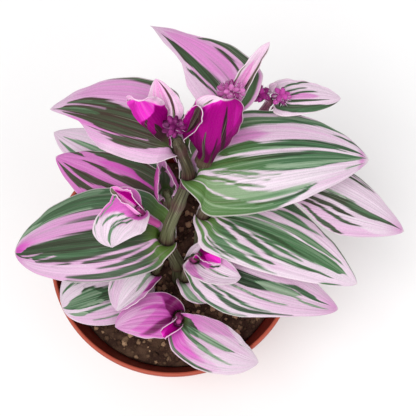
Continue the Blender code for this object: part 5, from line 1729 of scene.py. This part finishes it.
class PLANT_OT_stage(bpy.types.Operator):
    """Pale floor, soft light and the photograph's camera"""
    bl_idname = "plant.stage"
    bl_label = "Stage"

    def execute(self, context):
        settings = context.scene.plant_stage
        context.scene.view_settings.view_transform = "Standard"
        make_floor(settings.floor)
        add_sky(settings.sky)
        for name, (spot, size, share) in LIGHTS.items():
            add_light(name, spot, size, settings.key * share)
        add_camera()
        return {"FINISHED"}


def make_floor(colour):
    """Large pale sheet under the pot."""
    mat, tree, shader = new_material("floor_paper", 0.9)
    feed(tree, shader, {"Base Color": (*colour, 1.0)})
    half = FLOOR_HALF
    corners = [(-half, -half, 0), (half, -half, 0), (half, half, 0), (-half, half, 0)]
    return mesh_object("floor", corners, [(0, 1, 2, 3)], [mat])


def add_sky(strength):
    """White light from all round."""
    world = bpy.data.worlds.new("soft_sky")
    world.use_nodes = True
    background = world.node_tree.nodes["Background"]
    feed(world.node_tree, background, {"Color": (1.0, 1.0, 1.0, 1.0), "Strength": strength})
    bpy.context.scene.world = world


def add_light(name, spot, size, power):
    """Square soft light that looks at the middle of the plant."""
    light = bpy.data.lights.new(name, "AREA")
    light.size = size * MM
    light.energy = power
    obj = new_object(name, light)
    obj.location = Vector(spot) * MM
    aim = Vector(LIGHT_AIM) * MM - obj.location
    obj.rotation_euler = aim.to_track_quat("-Z", "Y").to_euler()


def add_camera():
    """Camera that looks as the photograph does."""
    camera = bpy.data.cameras.new("photo_camera")
    camera.lens = CAMERA_LENS
    camera.sensor_width = CAMERA_SENSOR
    obj = new_object("photo_camera", camera)
    obj.location = Vector(CAMERA_PLACE) * MM
    obj.rotation_euler = (math.radians(CAMERA_TILT), 0, 0)
    bpy.context.scene.camera = obj


def slot_of(node):
    """The record's material slot of a node."""
    for part in frame["record"]["subparts"]:
        if part["node"] == node:
            return part["material_slot"]
    raise KeyError(node)


class PLANT_PT_panel(bpy.types.Panel):
    """Buttons and sizes in the 3D view's sidebar"""
    bl_idname = "PLANT_PT_panel"
    bl_label = "Potted striped plant"
    bl_space_type = "VIEW_3D"
    bl_region_type = "UI"
    bl_category = "Plant"

    def draw(self, context):
        for group in SETTINGS:
            settings = getattr(context.scene, group)
            box = self.layout.box()
            for key in settings.__annotations__:
                box.prop(settings, key)
        for operator in OPERATORS:
            self.layout.operator(operator.bl_idname)


SETTINGS = {
    "plant_pot": PlantPotSettings, "plant_soil": PlantSoilSettings, "plant_stem": PlantStemSettings,
    "plant_leaf": PlantLeafSettings, "plant_bud": PlantBudSettings,
    "plant_stage": PlantStageSettings,
}
OPERATORS = (PLANT_OT_stage, PLANT_OT_pot, PLANT_OT_soil, PLANT_OT_stems, PLANT_OT_leaves,
             PLANT_OT_bracts, PLANT_OT_buds)


def register():
    for group, settings in SETTINGS.items():
        bpy.utils.register_class(settings)
        setattr(bpy.types.Scene, group, PointerProperty(type=settings))
    for operator in OPERATORS:
        bpy.utils.register_class(operator)
    bpy.utils.register_class(PLANT_PT_panel)


def unregister():
    bpy.utils.unregister_class(PLANT_PT_panel)
    for operator in reversed(OPERATORS):
        bpy.utils.unregister_class(operator)
    for group, settings in SETTINGS.items():
        delattr(bpy.types.Scene, group)
        bpy.utils.unregister_class(settings)


def main():
    register()
    bpy.ops.plant.stage()
    bpy.ops.plant.pot()
    bpy.ops.plant.soil()
    bpy.ops.plant.stems()
    bpy.ops.plant.leaves()
    bpy.ops.plant.bracts()
    bpy.ops.plant.buds()


if __name__ == "__main__":
    main()
